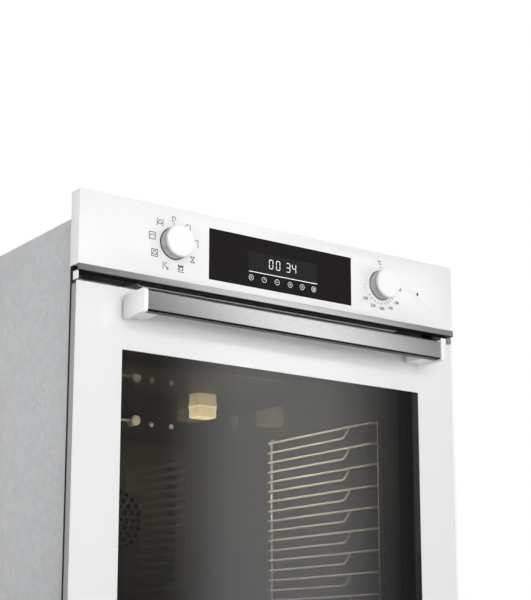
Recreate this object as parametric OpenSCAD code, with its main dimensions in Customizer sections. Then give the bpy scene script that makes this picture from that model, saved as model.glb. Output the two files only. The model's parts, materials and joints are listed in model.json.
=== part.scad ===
// Built-in wall oven, 60 cm class: chassis, cavity, drop-down glass door, control panel.
// Frame: X to the right, Y towards the back, Z up. The origin is the middle of the base
// plate's underside. Lengths below are measured from the front face of the door glass
// (y = 0 there) and every module is moved back to the shared origin by from_front().

/* [Front] */
// Width of the door and the control panel
front_w = 594; // [590:1:598]
// Height of the whole front
front_h = 595; // [594:0.5:598]
// Depth from the door glass to the rear cover
overall_depth = 567; // [560:1:575]
// Thickness of folded sheet steel
sheet = 1.2; // [1:0.1:1.5]

/* [Control panel] */
// Height of the white control panel
panel_h = 92; // [90:1:96]
// Height of the metal strip under the panel
strip_h = 8.2; // [7:0.1:9]
// Height of the air gap between the strip and the door
gap_h = 10.8; // [9:0.1:12]
// Distance of each knob from the middle
knob_x = 166; // [150:1:180]
// Height of the knob centres
knob_z = 549; // [545:1:552]
// Diameter of a knob
knob_d = 39; // [36:0.5:42]
// How far a knob stands out when it is popped out
knob_out = 18; // [16:0.5:18]
// Push-in travel of a knob
knob_travel = 14; // [10:1:14]
// Width of the black display window
display_w = 228; // [200:1:240]
// Height of the black display window
display_h = 66; // [60:1:70]
// Height of the display centre
display_z = 546; // [545:0.5:547]
// Distance of the pilot lamp from the middle
lens_x = 233; // [225:1:245]

/* [Door] */
// Height of the door's lower edge
door_bottom = 8; // [7:1:9]
// Width of the clear window in the print
window_w = 467; // [440:1:480]
// Upper edge of the window
window_top = 408.7; // [395:0.1:410]
// Lower edge of the window
window_bottom = 92; // [80:1:110]
// Thickness of the outer pane
pane_t = 4; // [4:0.5:4.5]
// Distance of the hinge pins from the front face
hinge_y = 17.5; // [17:0.1:18]
// Height of the hinge pins
hinge_z = 26; // [26:0.1:27]
// Distance of the hinge arms from the middle
hinge_x = 262; // [261:0.5:263]
// Radius of the hinge pins
pin_r = 3; // [2.5:0.1:3.2]

/* [Handle] */
// Length of the steel bar
bar_l = 460.6; // [440:0.2:470]
// Height of the bar's section
bar_h = 24.5; // [20:0.5:28]
// Depth of the bar's section
bar_t = 14; // [12:0.5:16]
// Distance from the door glass to the bar's front
bar_out = 46.5; // [42:0.5:50]
// Upper edge of the bar
bar_top = 471; // [460:1:472]

/* [Cavity] */
// Inside width of the cavity
cavity_w = 460; // [440:1:464]
// Height of the cavity floor
floor_z = 78; // [76:1:84]
// Height of the cavity ceiling
ceiling_z = 445; // [430:1:446]
// Position of the cavity's back wall
back_y = 450; // [430:1:452]
// Pitch of the shelf levels
level_pitch = 30; // [28:1:36]
// Number of shelf levels
levels = 9; // [5:1:9]

/* [Hidden] */
$fn = 64;

front_y = -overall_depth / 2;
half_w = front_w / 2;
panel_z = front_h - panel_h;
strip_z = panel_z - strip_h;
door_top = strip_z - gap_h;

// Chassis planes
plate_h = 14;                      // height of the base plate's folded edge
skirt_z = 0.4;                     // lower edge of the body panels
back_top = 489;                    // upper edge of the chassis back
lid_z = 560;                       // lower edge of the top cover's folded sides
frame_y = 43;                      // front face of the front frame
flange_y = 21.5;                   // front face of the fixing flanges
body_half = 280;                   // half width of the body
inner_half = body_half - sheet;
body_front = frame_y + sheet;
body_back = 558;
body_top = 573;
rear_skin = body_back + sheet;
flange_half = 295;
flange_low = 40;
fixing_x = 287;
fixing_low = 160;
fixing_high = 465;
fixing_hole_r = 2.75;
chassis_back_y = 477;

// Cavity
half_cavity = cavity_w / 2;
ceiling_r = 12;
rear_r = 30;
fan_z = 255;
lamp_x = 163;
lamp_z = 435.5;
lamp_half = 20;                    // half width of the lamp glass and its holder
lamp_front = 416;
lamp_up = 9;
lamp_down = 9.2;
lamp_wall = 2.8;
holder_half_h = 11;
holder_gap = 2;                    // clearance of the openings behind the lamp holder
bulb_r = 4.5;
bulb_y = 434;
probe_x = 42;
probe_z = 411;
wall_gap = 0.5;
upper_z = ceiling_z + 6;           // heating elements above and below the cavity
bottom_z = floor_z - 8;

// Shelf racks: rails stand further into the cavity than their posts
rail_x = half_cavity - 11;
post_x = half_cavity - 4;
front_post_y = 79.7;
rear_post_y = 333;

// Door stack
door_rear = 41.2;                  // rear face of the closed door
inner_t = 4;
middle_y = 22;
middle_t = 3;
print_t = 0.3;
lip_x = 253.3;                     // inner edge of the side profiles' rear lip
step_x = 274.8;                    // where the door steps into the front frame
step_y = 20.5;
skin = 1.5;
swing_z = 48;                      // below this the hinge arms need a clear way out
screw_x = 221;
screw_z = bar_top - 13;

// Bolt that locks each hinge arm in its receiver
lock_y = 118;
lock_z = 44;
lock_r = 4;

// Knobs and their shafts
cap_t = 5;                         // thickness of the cap
cap_y = cap_t - knob_out;          // where the cap meets the knob's body
shaft_r = 3;
shaft_flat = 2.2;                  // height of the flat above the shaft's axis
hub_r = 6;
hub_back = 8;
flat_end = hub_back + knob_travel + 1;
bracket_y = 22.8;                  // plate that carries the switches
switch_y = 24;
bezel_out = 3;                     // width of the opening around a knob
lens_z = 547;

// Air system
duct_half = 208.5;
duct_front = 16;
duct_z = 492.5;
duct_top = 505;
duct_r = 6.2;
duct_end = 241.2;
blower_y = 335;
blower_r = 88;                     // radius of the blower housing
wheel_r = 72;
motor_r = 30;

// Mains cable gland
gland_x = 205;
gland_z = 520;
gland_r = 4.5;

// Door edges
print_y = pane_t + print_t;        // rear of the print, where the frame is glued on
profile_x = 294;
profile_low = 10;
trim_z = 481;
inner_top = 461.7;

// Running clearances
run_gap = 0.06;

module from_front() {
    translate([0, front_y, 0])
    children();
}

// Box between two corners
module block(x0, x1, y0, y1, z0, z1) {
    translate([x0, y0, z0])
    cube([x1 - x0, y1 - y0, z1 - z0]);
}

module rod_x(x0, x1, y, z, r) {
    translate([x0, y, z])
    rotate([0, 90, 0])
    cylinder(h = x1 - x0, r = r);
}

module rod_y(x, y0, y1, z, r) {
    translate([x, y0, z])
    rotate([-90, 0, 0])
    cylinder(h = y1 - y0, r = r);
}

module rod_z(x, y, z0, z1, r) {
    translate([x, y, z0])
    cylinder(h = z1 - z0, r = r);
}

module both_sides() {
    children();
    mirror([1, 0, 0])
    children();
}

// Flat outline in X and Z, made solid from y0 back to y1
module upright(y0, y1) {
    translate([0, y1, 0])
    rotate([90, 0, 0])
    linear_extrude(height = y1 - y0)
    children();
}

// Flat outline in Y and Z, made solid from x0 to x1
module sideways(x0, x1) {
    translate([x0, 0, 0])
    rotate([90, 0, 90])
    linear_extrude(height = x1 - x0)
    children();
}

// Rounded rectangle from corner to corner
module round_rect(x0, x1, z0, z1, r) {
    translate([x0 + r, z0])
    square([x1 - x0 - 2 * r, z1 - z0]);
    translate([x0, z0 + r])
    square([x1 - x0, z1 - z0 - 2 * r]);
    for (x = [x0 + r, x1 - r], z = [z0 + r, z1 - r])
        translate([x, z])
        circle(r = r);
}

// ---------- chassis ----------

module base_plate() {
    color("gainsboro")
    from_front()
    difference() {
        block(-inner_half, inner_half, body_front, body_back, 0, plate_h);
        block(-inner_half + sheet, inner_half - sheet, body_front + sheet, body_back - sheet,
              sheet, plate_h + 1);
        for (x = [-210 : 60 : 210], y = [120, 480])
            translate([x, y, -1])
            linear_extrude(height = 4)
            round_rect(-20, 20, -2.5, 2.5, 2.4);
        // the door's lower edge and the hinge arms come close to the front flange
        both_sides()
        block(256, 268, body_front - 1, body_front + 3, 12, 16);
    }
}

module side_panel() {
    difference() {
        block(-body_half, -inner_half, body_front, body_back, skirt_z, body_top);
        // louvres beside the blower and beside the rear
        for (i = [0 : 7])
            sideways(-body_half - 1, -278)
            round_rect(300 + 26 * i, 306 + 26 * i, 500, 548, 2.9);
        for (i = [0 : 5])
            sideways(-body_half - 1, -278)
            round_rect(490 + 9 * i, 494 + 9 * i, 60, 120, 1.9);
    }
}

module left_side_panel() {
    color("silver")
    from_front()
    side_panel();
}

module right_side_panel() {
    color("silver")
    from_front()
    mirror([1, 0, 0])
    side_panel();
}

module top_cover() {
    color("silver")
    from_front()
    difference() {
        block(-inner_half, inner_half, body_front, body_back, lid_z, body_top);
        block(-inner_half + sheet, inner_half - sheet, body_front - 1, body_back + 1,
              lid_z - 1, body_top - sheet);
        // air inlet above the blower
        for (x = [-60 : 12 : 60])
            translate([x, blower_y, body_top - 3])
            linear_extrude(height = 5)
            round_rect(-2.5, 2.5, -45, 45, 2.4);
    }
}

module rear_cover() {
    cover_half = 120;
    cover_half_h = 105;
    cover_r = 14;
    color("silver")
    from_front()
    difference() {
        union() {
            block(-body_half, body_half, body_back, rear_skin, skirt_z, body_top);
            upright(body_back, overall_depth)
            round_rect(-cover_half, cover_half, fan_z - cover_half_h, fan_z + cover_half_h,
                       cover_r);
        }
        upright(body_back - 1, overall_depth - sheet)
        round_rect(-cover_half + sheet, cover_half - sheet, fan_z - cover_half_h + sheet,
                   fan_z + cover_half_h - sheet, cover_r - sheet);
        // vents in the raised motor cover
        for (z = [fan_z - 75 : 15 : fan_z + 75])
            upright(body_back - 1, overall_depth + 1)
            round_rect(-70, 70, z - 2.5, z + 2.5, 2.4);
        // mains cable gland
        rod_y(gland_x, body_back - 1, rear_skin + 1, gland_z, 10);
        cover_screw_places()
        rod_y(0, body_back - 1, rear_skin + 1, 0, 1.6);
    }
}

module cover_screw_places() {
    for (x = [-268, 268], z = [30, 290, 560])
        translate([x, 0, z])
        children();
}

module cover_screws() {
    color("dimgray")
    from_front()
    cover_screw_places() {
        rod_y(0, body_back - 4, rear_skin, 0, 1.6);
        difference() {
            rod_y(0, rear_skin, rear_skin + 2, 0, 4);
            block(-2.6, 2.6, rear_skin + 1, rear_skin + 3, -0.4, 0.4);
            block(-0.4, 0.4, rear_skin + 1, rear_skin + 3, -2.6, 2.6);
        }
    }
}

module chassis_back() {
    color("lightgray")
    from_front()
    difference() {
        block(-inner_half, inner_half, chassis_back_y, chassis_back_y + sheet, plate_h,
              back_top);
        rod_y(0, chassis_back_y - 1, chassis_back_y + 3, fan_z, 20);
        lamp_opening(chassis_back_y - 1, chassis_back_y + 3);
        rod_y(probe_x, chassis_back_y - 1, chassis_back_y + 3, probe_z, 4);
        heater_legs(chassis_back_y - 1, chassis_back_y + 3, 5);
        element_leads(chassis_back_y - 1, chassis_back_y + 3, 5);
    }
}

module front_frame() {
    color("darkgray")
    from_front()
    difference() {
        union() {
            block(-279, 279, frame_y, body_front, 3, 491);
            // stepped sides that the door sinks into, and the fixing flanges
            both_sides() {
                block(277.8, 279, flange_y, frame_y, flange_low, 590);
                block(277.8, flange_half, flange_y, flange_y + sheet, flange_low, 590);
            }
        }
        upright(frame_y - 1, body_front + 1)
        round_rect(-half_cavity - sheet, half_cavity + sheet, floor_z - sheet,
                   ceiling_z + sheet, ceiling_r + sheet);
        both_sides() {
            block(258, 266, frame_y - 1, body_front + 1, 15, 38);
            for (z = [fixing_low, fixing_high])
                rod_y(fixing_x, flange_y - 1, flange_y + 3, z, fixing_hole_r);
        }
    }
}

// Cavity space, grown by g on every side but the mouth
module cavity_space(g, y0) {
    intersection() {
        upright(y0, back_y + g)
        round_rect(-half_cavity - g, half_cavity + g, floor_z - g, ceiling_z + g,
                   ceiling_r + g);
        translate([0, 0, floor_z - g])
        linear_extrude(height = ceiling_z - floor_z + 2 * g)
        union() {
            translate([-half_cavity - g, y0])
            square([cavity_w + 2 * g, back_y - rear_r - y0]);
            round_rect(-half_cavity - g, half_cavity + g, back_y - 100, back_y + g,
                       rear_r + g);
        }
    }
}

module cavity_liner() {
    color("dimgray")
    from_front()
    difference() {
        cavity_space(sheet, frame_y);
        cavity_space(0, frame_y - 1);
        rod_y(0, back_y - 1, back_y + 3, fan_z, 8);
        block(lamp_x - 14, lamp_x + 14, back_y - 1, back_y + 3, lamp_z - 6, lamp_z + 6);
        rod_y(probe_x, back_y - 1, back_y + 3, probe_z, 3);
        heater_legs(back_y - 1, back_y + 3, 4);
    }
}

module insulation() {
    color("khaki")
    from_front()
    difference() {
        block(-254, 254, body_front + 1, chassis_back_y, 42, 481);
        block(-half_cavity - sheet - wall_gap, half_cavity + sheet + wall_gap,
              body_front, back_y + sheet + wall_gap, 64, 456);
        rod_y(0, back_y, chassis_back_y + 1, fan_z, 12);
        lamp_opening(back_y, chassis_back_y + 1);
        rod_y(probe_x, back_y, chassis_back_y + 1, probe_z, 4);
        heater_legs(back_y, chassis_back_y + 1, 5);
        element_leads(back_y, chassis_back_y + 1, 5);
    }
}

module door_gasket() {
    color("gray")
    from_front()
    upright(door_rear + 0.3, frame_y)
    difference() {
        round_rect(-242, 242, 66, 457, 22);
        round_rect(-236, 236, 72, 451, 17);
    }
}

// ---------- cavity fittings ----------

module fan_baffle() {
    face_y = 424;
    half = 122;
    color("slategray")
    from_front()
    difference() {
        upright(face_y, back_y)
        round_rect(-half, half, fan_z - half, fan_z + half, 26);
        upright(face_y + sheet, back_y + 1)
        round_rect(-half + sheet, half - sheet, fan_z - half + sheet, fan_z + half - sheet,
                   26 - sheet);
        // round intake grille
        for (ring = [1 : 4], i = [0 : 6 * ring - 1])
            rod_y(11 * ring * cos(60 * i / ring), face_y - 1, face_y + 3,
                  fan_z + 11 * ring * sin(60 * i / ring), 4);
        rod_y(0, face_y - 1, face_y + 3, fan_z, 4);
        // hot-air outlets along both sides
        both_sides()
        for (z = [fan_z - 84 : 14 : fan_z + 84])
            upright(face_y - 1, face_y + 3)
            round_rect(92, 110, z - 3, z + 3, 2.9);
    }
}

module heater_legs(y0, y1, r) {
    for (x = [-12, 12])
        rod_y(x, y0, y1, fan_z + 88, r);
}

module ring_heater() {
    color("dimgray")
    from_front() {
        translate([0, 438, fan_z])
        rotate([90, 0, 0])
        rotate_extrude()
        translate([88, 0])
        circle(r = 3.2);
        heater_legs(438, 492, 3);
    }
}

module element_leads(y0, y1, r) {
    for (x = [-15, 15], z = [upper_z, bottom_z])
        rod_y(x, y0, y1, z, r);
}

// Serpentine heating tube lying at height z; the cross runs are a little thinner
module serpentine(z) {
    r = 3.2;
    first = 100;
    last = 400;
    lead_y = 425;
    half = 180;
    runs = 8;
    run = [for (i = [0 : runs - 1]) -half + 2 * half / (runs - 1) * i];
    for (x = run)
        rod_y(x, first - r, last + r, z, r);
    for (i = [0 : runs - 2])
        rod_x(run[i], run[i + 1], i % 2 == 0 ? first : last, z, r - 0.1);
    both_sides() {
        rod_y(half, last, lead_y, z, r);
        rod_x(15, half + r, lead_y, z, r - 0.1);
        rod_y(15, lead_y - r, 492, z, r - 0.2);
    }
}

module upper_element() {
    color("dimgray")
    from_front()
    serpentine(upper_z);
}

module bottom_element() {
    color("dimgray")
    from_front()
    serpentine(bottom_z);
}

// Way through a sheet or the insulation for the lamp holder
module lamp_opening(y0, y1) {
    half = lamp_half + holder_gap;
    half_h = holder_half_h + holder_gap;
    block(lamp_x - half, lamp_x + half, y0, y1, lamp_z - half_h, lamp_z + half_h);
}

module lamp_glass() {
    inner_half_w = lamp_half - lamp_wall;
    color("lightyellow", 0.8)
    from_front()
    difference() {
        upright(lamp_front, back_y)
        round_rect(lamp_x - lamp_half, lamp_x + lamp_half, lamp_z - lamp_down, lamp_z + lamp_up, 4);
        upright(lamp_front + lamp_wall, back_y + 1)
        round_rect(lamp_x - inner_half_w, lamp_x + inner_half_w, lamp_z - lamp_down + lamp_wall,
                   lamp_z + lamp_up - lamp_wall, 2);
    }
}

module lamp_holder() {
    color("white")
    from_front()
    difference() {
        block(lamp_x - lamp_half, lamp_x + lamp_half, back_y + sheet, 500,
              lamp_z - holder_half_h, lamp_z + holder_half_h);
        block(lamp_x - 12, lamp_x + 12, back_y, 478, lamp_z - 6, lamp_z + 6);
    }
}

module lamp_bulb() {
    color("lightyellow")
    from_front() {
        rod_y(lamp_x, bulb_y, 468, lamp_z, bulb_r);
        translate([lamp_x, bulb_y, lamp_z])
        sphere(r = bulb_r);
        block(lamp_x - 4, lamp_x + 4, 466, 478, lamp_z - 2, lamp_z + 2);
    }
}

module temperature_probe() {
    color("silver")
    from_front() {
        rod_y(probe_x, 434, back_y, probe_z, 8);
        rod_y(probe_x, back_y, 490, probe_z, 2.5);
        rod_x(-60, probe_x, 441, probe_z, 2);
        translate([-60, 441, probe_z])
        sphere(r = 2);
    }
}

// One wire runner: upper rail, lower rail with its raised front end.
// Joined wires differ slightly in radius, as welded wires do.
module runner(z) {
    r = 1.75;
    rod_y(rail_x, 90 - r, rear_post_y, z, r);
    rod_y(rail_x, 147, rear_post_y, z - 15, r);
    // sloping riser and short upright up to the rail
    translate([rail_x, 149, z - 15])
    rotate([50, 0, 0])
    cylinder(h = 16, r = r - 0.05);
    rod_z(rail_x, 137, z - 7, z, r - 0.1);
    // rear ends turned to the post
    for (end_z = [z, z - 15])
        rod_x(rail_x, post_x, rear_post_y - 1, end_z, r - 0.1);
    // front end bent out to the post
    translate([rail_x, 90, z])
    rotate([0, 90, atan2(front_post_y - 90, post_x - rail_x)])
    cylinder(h = norm([post_x - rail_x, front_post_y - 90]), r = r - 0.1);
}

module side_rack() {
    top_rail = 377.5;
    foot = top_rail - level_pitch * levels;
    for (i = [0 : levels - 1])
        runner(top_rail - level_pitch * i);
    // posts, with pegs into the wall
    rod_z(post_x, front_post_y, foot - 2, top_rail + 1.5, 2);
    rod_z(post_x, rear_post_y, foot - 2, top_rail + 8, 2);
    for (z = [foot, top_rail - 4])
        rod_x(post_x, half_cavity, front_post_y, z, 1.9);
    for (z = [foot, top_rail + 6])
        rod_x(post_x, half_cavity, rear_post_y, z, 1.9);
    // foot wire that ties the posts together
    rod_y(post_x, front_post_y - 1, rear_post_y + 1, foot, 1.8);
}

module left_side_rack() {
    color("silver")
    from_front()
    mirror([1, 0, 0])
    side_rack();
}

module right_side_rack() {
    color("silver")
    from_front()
    side_rack();
}

// ---------- control panel ----------

module control_panel() {
    color("white")
    from_front()
    difference() {
        union() {
            block(-half_w, half_w, 0, 1.6, panel_z, front_h);
            block(-half_w, half_w, 1.6, 21, front_h - 1.6, front_h);
            block(-half_w, half_w, 1.6, 14, panel_z, panel_z + 1.6);
            both_sides()
            block(half_w - 1.6, half_w, 1.6, 20.5, panel_z, front_h);
        }
        for (x = [-knob_x, knob_x])
            rod_y(x, -1, 3, knob_z, knob_d / 2 + bezel_out);
        block(-display_w / 2 - 0.2, display_w / 2 + 0.2, -1, 3,
              display_z - display_h / 2 - 0.2, display_z + display_h / 2 + 0.2);
        block(lens_x - 1.7, lens_x + 1.7, -1, 3, lens_z - 2.2, lens_z + 2.2);
    }
}

module panel_trim_strip() {
    color("silver")
    from_front() {
        block(-half_w, half_w, -1.4, 0.8, strip_z, panel_z);
        block(-half_w, half_w, 0.8, 14, strip_z, strip_z + 1.2);
        // folded ends that close the air gap
        both_sides()
        block(half_w - 1.5, half_w, 1.5, 12, door_top + 1, strip_z);
    }
}

module panel_bracket() {
    color("dimgray")
    from_front()
    difference() {
        union() {
            block(-277, 277, bracket_y, switch_y, 507, 590);
            block(-277, 277, 3, bracket_y, 507, 507 + sheet);
            block(-277, 277, switch_y, body_front + 8, 507, 507 + sheet);
        }
        for (x = [-knob_x, knob_x])
            rod_y(x, 20, 26, knob_z, 7);
        block(-104, 104, 20, 26, 518, 574);
    }
}

module display_window() {
    color("black")
    from_front()
    upright(-0.2, 3)
    round_rect(-display_w / 2, display_w / 2, display_z - display_h / 2,
               display_z + display_h / 2, 0.6);
}

module display_board() {
    color("darkgreen")
    from_front() {
        block(-58, 60, 3, 9, 530, 564);
        block(-100, 100, 9, 10.6, 519, 573);
        block(-60, 20, 10.6, 22, 535, 560);
        block(40, 80, 10.6, 19, 530, 565);
    }
}

module knob_bezels() {
    color("silver")
    from_front()
    for (x = [-knob_x, knob_x])
        difference() {
            union() {
                rod_y(x, 0, 6, knob_z, knob_d / 2 + bezel_out);
                rod_y(x, -0.6, 0, knob_z, knob_d / 2 + bezel_out + 0.6);
            }
            rod_y(x, -2, 8, knob_z, knob_d / 2 + 0.6);
        }
}

module indicator_lens() {
    color("red")
    from_front()
    upright(-0.4, 9)
    round_rect(lens_x - 1.5, lens_x + 1.5, lens_z - 2, lens_z + 2, 0.5);
}

module function_switch() {
    color("ivory")
    from_front()
    difference() {
        union() {
            upright(switch_y, 46)
            round_rect(-knob_x - 20, -knob_x + 20, knob_z - 20, knob_z + 20, 4);
            for (x = [-14 : 7 : 14], z = [-12, 12])
                block(-knob_x + x - 2, -knob_x + x + 2, 46, 54, knob_z + z - 0.4,
                      knob_z + z + 0.4);
        }
        rod_y(-knob_x, switch_y - 1, 42, knob_z, shaft_r + run_gap);
    }
}

module thermostat_body() {
    color("ivory")
    from_front()
    difference() {
        union() {
            rod_y(knob_x, switch_y, 44, knob_z, 20);
            rod_y(knob_x, 44, 52, knob_z, 13);
            for (x = [-9, 9])
                block(knob_x + x - 3, knob_x + x + 3, 44, 60, knob_z + 15, knob_z + 15.8);
        }
        rod_y(knob_x, switch_y - 1, 42, knob_z, shaft_r + run_gap);
    }
}

// Shaft with a flat; it turns in the switch and slides in the knob
module knob_shaft(x) {
    difference() {
        rod_y(x, 2, 41.5, knob_z, shaft_r);
        block(x - 4, x + 4, 1, flat_end, knob_z + shaft_flat, knob_z + 4);
    }
}

module function_shaft() {
    color("gold")
    from_front()
    knob_shaft(-knob_x);
}

module thermostat_shaft() {
    color("gold")
    from_front()
    knob_shaft(knob_x);
}

// Hollow knob body: ring, face plate and hub with a bore for the shaft
module knob_body(x) {
    skirt_y = 2.5;
    wall = 2.2;
    difference() {
        union() {
            rod_y(x, cap_y, skirt_y, knob_z, knob_d / 2);
            rod_y(x, skirt_y, hub_back, knob_z, hub_r);
        }
        difference() {
            rod_y(x, cap_y + 2, skirt_y + 0.5, knob_z, knob_d / 2 - wall);
            rod_y(x, cap_y, skirt_y + 1, knob_z, hub_r);
        }
        difference() {
            rod_y(x, cap_y + 0.5, hub_back + 1, knob_z, shaft_r + run_gap);
            block(x - 4, x + 4, cap_y, hub_back + 2, knob_z + shaft_flat + 2 * run_gap,
                  knob_z + 5);
        }
    }
}

module function_knob() {
    color("silver")
    from_front()
    knob_body(-knob_x);
}

module thermostat_knob() {
    color("silver")
    from_front()
    knob_body(knob_x);
}

// Cap with a rounded rim, turned about the knob's axis
module knob_cap(x) {
    r = knob_d / 2;
    rim = 2;
    translate([x, -knob_out, knob_z])
    rotate([-90, 0, 0])
    rotate_extrude()
    union() {
        square([r - rim, cap_t]);
        translate([0, rim])
        square([r, cap_t - rim]);
        translate([r - rim, rim])
        intersection() {
            circle(r = rim);
            translate([0, -rim])
            square([rim, rim]);
        }
    }
}

module function_knob_cap() {
    color("white")
    from_front()
    knob_cap(-knob_x);
}

module thermostat_knob_cap() {
    color("white")
    from_front()
    knob_cap(knob_x);
}

// ---------- air system and electrics ----------

module air_duct() {
    color("silver")
    from_front()
    upright(duct_front, duct_end)
    difference() {
        round_rect(-duct_half, duct_half, duct_z, duct_top, duct_r);
        round_rect(-duct_half + sheet, duct_half - sheet, duct_z + sheet, duct_top - sheet,
                   duct_r - sheet);
    }
}

// Outline of the blower housing, shrunk by g
module scroll(g) {
    mouth = 214 - g;
    round_part = blower_r - g;
    polygon([[-mouth, 240 + g], [mouth, 240 + g], [mouth, 262 - g / 2],
             [round_part, blower_y], [-round_part, blower_y], [-mouth, 262 - g / 2]]);
    translate([0, blower_y])
    circle(r = round_part);
}

module blower_housing() {
    floor_of_box = 490;
    box_h = 42;
    color("silver")
    from_front()
    difference() {
        translate([0, 0, floor_of_box])
        linear_extrude(height = box_h)
        scroll(0);
        translate([0, 0, floor_of_box + sheet])
        linear_extrude(height = box_h - 2 * sheet)
        scroll(sheet);
        // air inlet in the lid
        rod_z(0, blower_y, floor_of_box + box_h - 3, floor_of_box + box_h + 2, 48);
        upright(238, duct_end)
        round_rect(-duct_half, duct_half, duct_z, duct_top, duct_r);
    }
}

module blower_motor() {
    color("dimgray")
    from_front()
    difference() {
        union() {
            rod_z(0, blower_y, 535, 562, motor_r);
            for (i = [0 : 2])
                translate([0, blower_y, 532])
                rotate([0, 0, 120 * i + 30])
                translate([12, -6, 0])
                cube([54, 12, 4]);
        }
        rod_z(0, blower_y, 531, 560, shaft_r + run_gap);
    }
}

module blower_wheel() {
    blades = 24;
    color("white")
    from_front() {
        rod_z(0, blower_y, 495, 497, wheel_r);
        difference() {
            rod_z(0, blower_y, 524, 526, wheel_r);
            rod_z(0, blower_y, 523, 527, wheel_r - 18);
        }
        rod_z(0, blower_y, 497, 520, 9);
        rod_z(0, blower_y, 520, 559.5, shaft_r);
        for (i = [0 : blades - 1])
            translate([0, blower_y, 497])
            rotate([0, 0, 360 / blades * i])
            translate([wheel_r - 9, 0, 0])
            rotate([0, 0, 35])
            translate([-9, -sheet / 2, 0])
            cube([18, sheet, 27]);
    }
}

module convection_motor() {
    color("dimgray")
    from_front()
    difference() {
        union() {
            rod_y(0, 484, 530, fan_z, 34);
            block(-58, 58, chassis_back_y + sheet, chassis_back_y + 3, fan_z - 42, fan_z + 42);
            for (x = [-50, 42])
                block(x, x + 8, chassis_back_y + 3, 500, fan_z - 8, fan_z + 8);
            block(-50, 50, 498, 500, fan_z - 8, fan_z + 8);
        }
        rod_y(0, chassis_back_y, 524, fan_z, 4 + run_gap);
    }
}

module convection_fan() {
    color("silver")
    from_front() {
        rod_y(0, 430, 444, fan_z, 10);
        rod_y(0, 444, 523, fan_z, 4);
        rod_y(0, 443, 444.2, fan_z, 40);
        for (i = [0 : 7])
            translate([0, 0, fan_z])
            rotate([0, 45 * i, 0])
            block(9, 74, 431, 444.2, -0.7, 0.7);
    }
}

module terminal_block() {
    color("ivory")
    from_front()
    difference() {
        block(120, 176, 534, body_back, 505, 535);
        for (x = [127 : 10.5 : 170])
            rod_z(x, 546, 528, 536, 2.5);
    }
}

module cable_gland() {
    color("black")
    from_front()
    difference() {
        union() {
            rod_y(gland_x, body_back - 6, rear_skin, gland_z, 9.8);
            rod_y(gland_x, rear_skin, rear_skin + 3.5, gland_z, 14);
            rod_y(gland_x, rear_skin + 3.5, overall_depth, gland_z, 9);
        }
        rod_y(gland_x, body_back - 8, overall_depth + 1, gland_z, gland_r);
    }
}

// ---------- hinges ----------

module hinge_receivers() {
    color("silver")
    from_front()
    both_sides()
    difference() {
        block(hinge_x - 5, hinge_x + 5, body_front, 138, 14.2, 62);
        block(hinge_x - 3.6, hinge_x + 3.6, body_front - 1, 136, 15.6, 60.6);
        rod_x(hinge_x - 6, hinge_x + 6, lock_y, lock_z, lock_r);
    }
}

module hinge_arms() {
    color("silver")
    from_front()
    both_sides()
    difference() {
        sideways(hinge_x - 1.5, hinge_x + 1.5)
        union() {
            translate([hinge_y, hinge_z])
            circle(r = 8);
            translate([hinge_y, hinge_z - 8])
            square([60, 16]);
            translate([70, 18])
            square([60, 38]);
        }
        rod_x(hinge_x - 3, hinge_x + 3, hinge_y, hinge_z, pin_r);
        rod_x(hinge_x - 3, hinge_x + 3, lock_y, lock_z, lock_r);
    }
}

module hinge_pins() {
    color("gray")
    from_front()
    both_sides() {
        rod_x(hinge_x - 6.5, hinge_x + 6.5, hinge_y, hinge_z, pin_r);
        rod_x(hinge_x - 5.5, hinge_x + 5.5, lock_y, lock_z, lock_r);
    }
}

// Door side of the hinge: a channel whose cheeks turn on the pin
module door_hinge_channels() {
    color("silver")
    from_front()
    both_sides()
    difference() {
        block(hinge_x - 5, hinge_x + 5, 6, 34, 14, 190);
        block(hinge_x - 3.5, hinge_x + 3.5, 7.5, 35, 13, 191);
        rod_x(hinge_x - 6, hinge_x + 6, hinge_y, hinge_z, pin_r + run_gap);
        // heel cut back so that the open door clears the frame
        sideways(hinge_x - 6, hinge_x + 6)
        polygon([[28, 13], [35, 13], [35, 22]]);
    }
}

// ---------- door ----------

module handle_holes(y0, y1) {
    for (x = [-screw_x, screw_x])
        rod_y(x, y0, y1, screw_z, 3.4);
}

module door_outer_glass() {
    color("aliceblue", 0.4)
    from_front()
    difference() {
        upright(0, pane_t)
        round_rect(-half_w, half_w, door_bottom, door_top, 1.5);
        handle_holes(-1, pane_t + 1);
    }
}

module door_enamel_print() {
    color("white")
    from_front()
    difference() {
        upright(pane_t, print_y)
        round_rect(-half_w + 0.3, half_w - 0.3, door_bottom + 0.3, door_top - 0.3, 1.5);
        upright(pane_t - 1, pane_t + 2)
        round_rect(-window_w / 2, window_w / 2, window_bottom, window_top, 1);
        handle_holes(pane_t - 1, pane_t + 2);
    }
}

module door_middle_glass() {
    color("lightgray", 0.4)
    from_front()
    upright(middle_y, middle_y + middle_t)
    round_rect(-250, 250, 50, 460, 3);
}

module door_inner_glass() {
    color("lightgray", 0.4)
    from_front()
    upright(door_rear - inner_t, door_rear)
    round_rect(-lip_x + 0.3, lip_x - 0.3, swing_z, inner_top, 3);
}

module side_profile() {
    high = trim_z + 1;
    difference() {
        union() {
            block(280, profile_x, print_y, print_y + skin, profile_low, high);
            block(profile_x - skin, profile_x, print_y, step_y, profile_low, high);
            block(step_x, profile_x, step_y - skin, step_y, profile_low, high);
            block(step_x, step_x + skin, step_y - skin, door_rear, profile_low, high);
            block(lip_x, step_x + skin, door_rear - skin, door_rear, swing_z, trim_z);
        }
        // heel cut back so that the open door clears the frame
        block(250, 290, 33, 45, profile_low - 1, hinge_z);
    }
}

module door_right_profile() {
    color("white")
    from_front()
    side_profile();
}

module door_left_profile() {
    color("white")
    from_front()
    mirror([1, 0, 0])
    side_profile();
}

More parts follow.
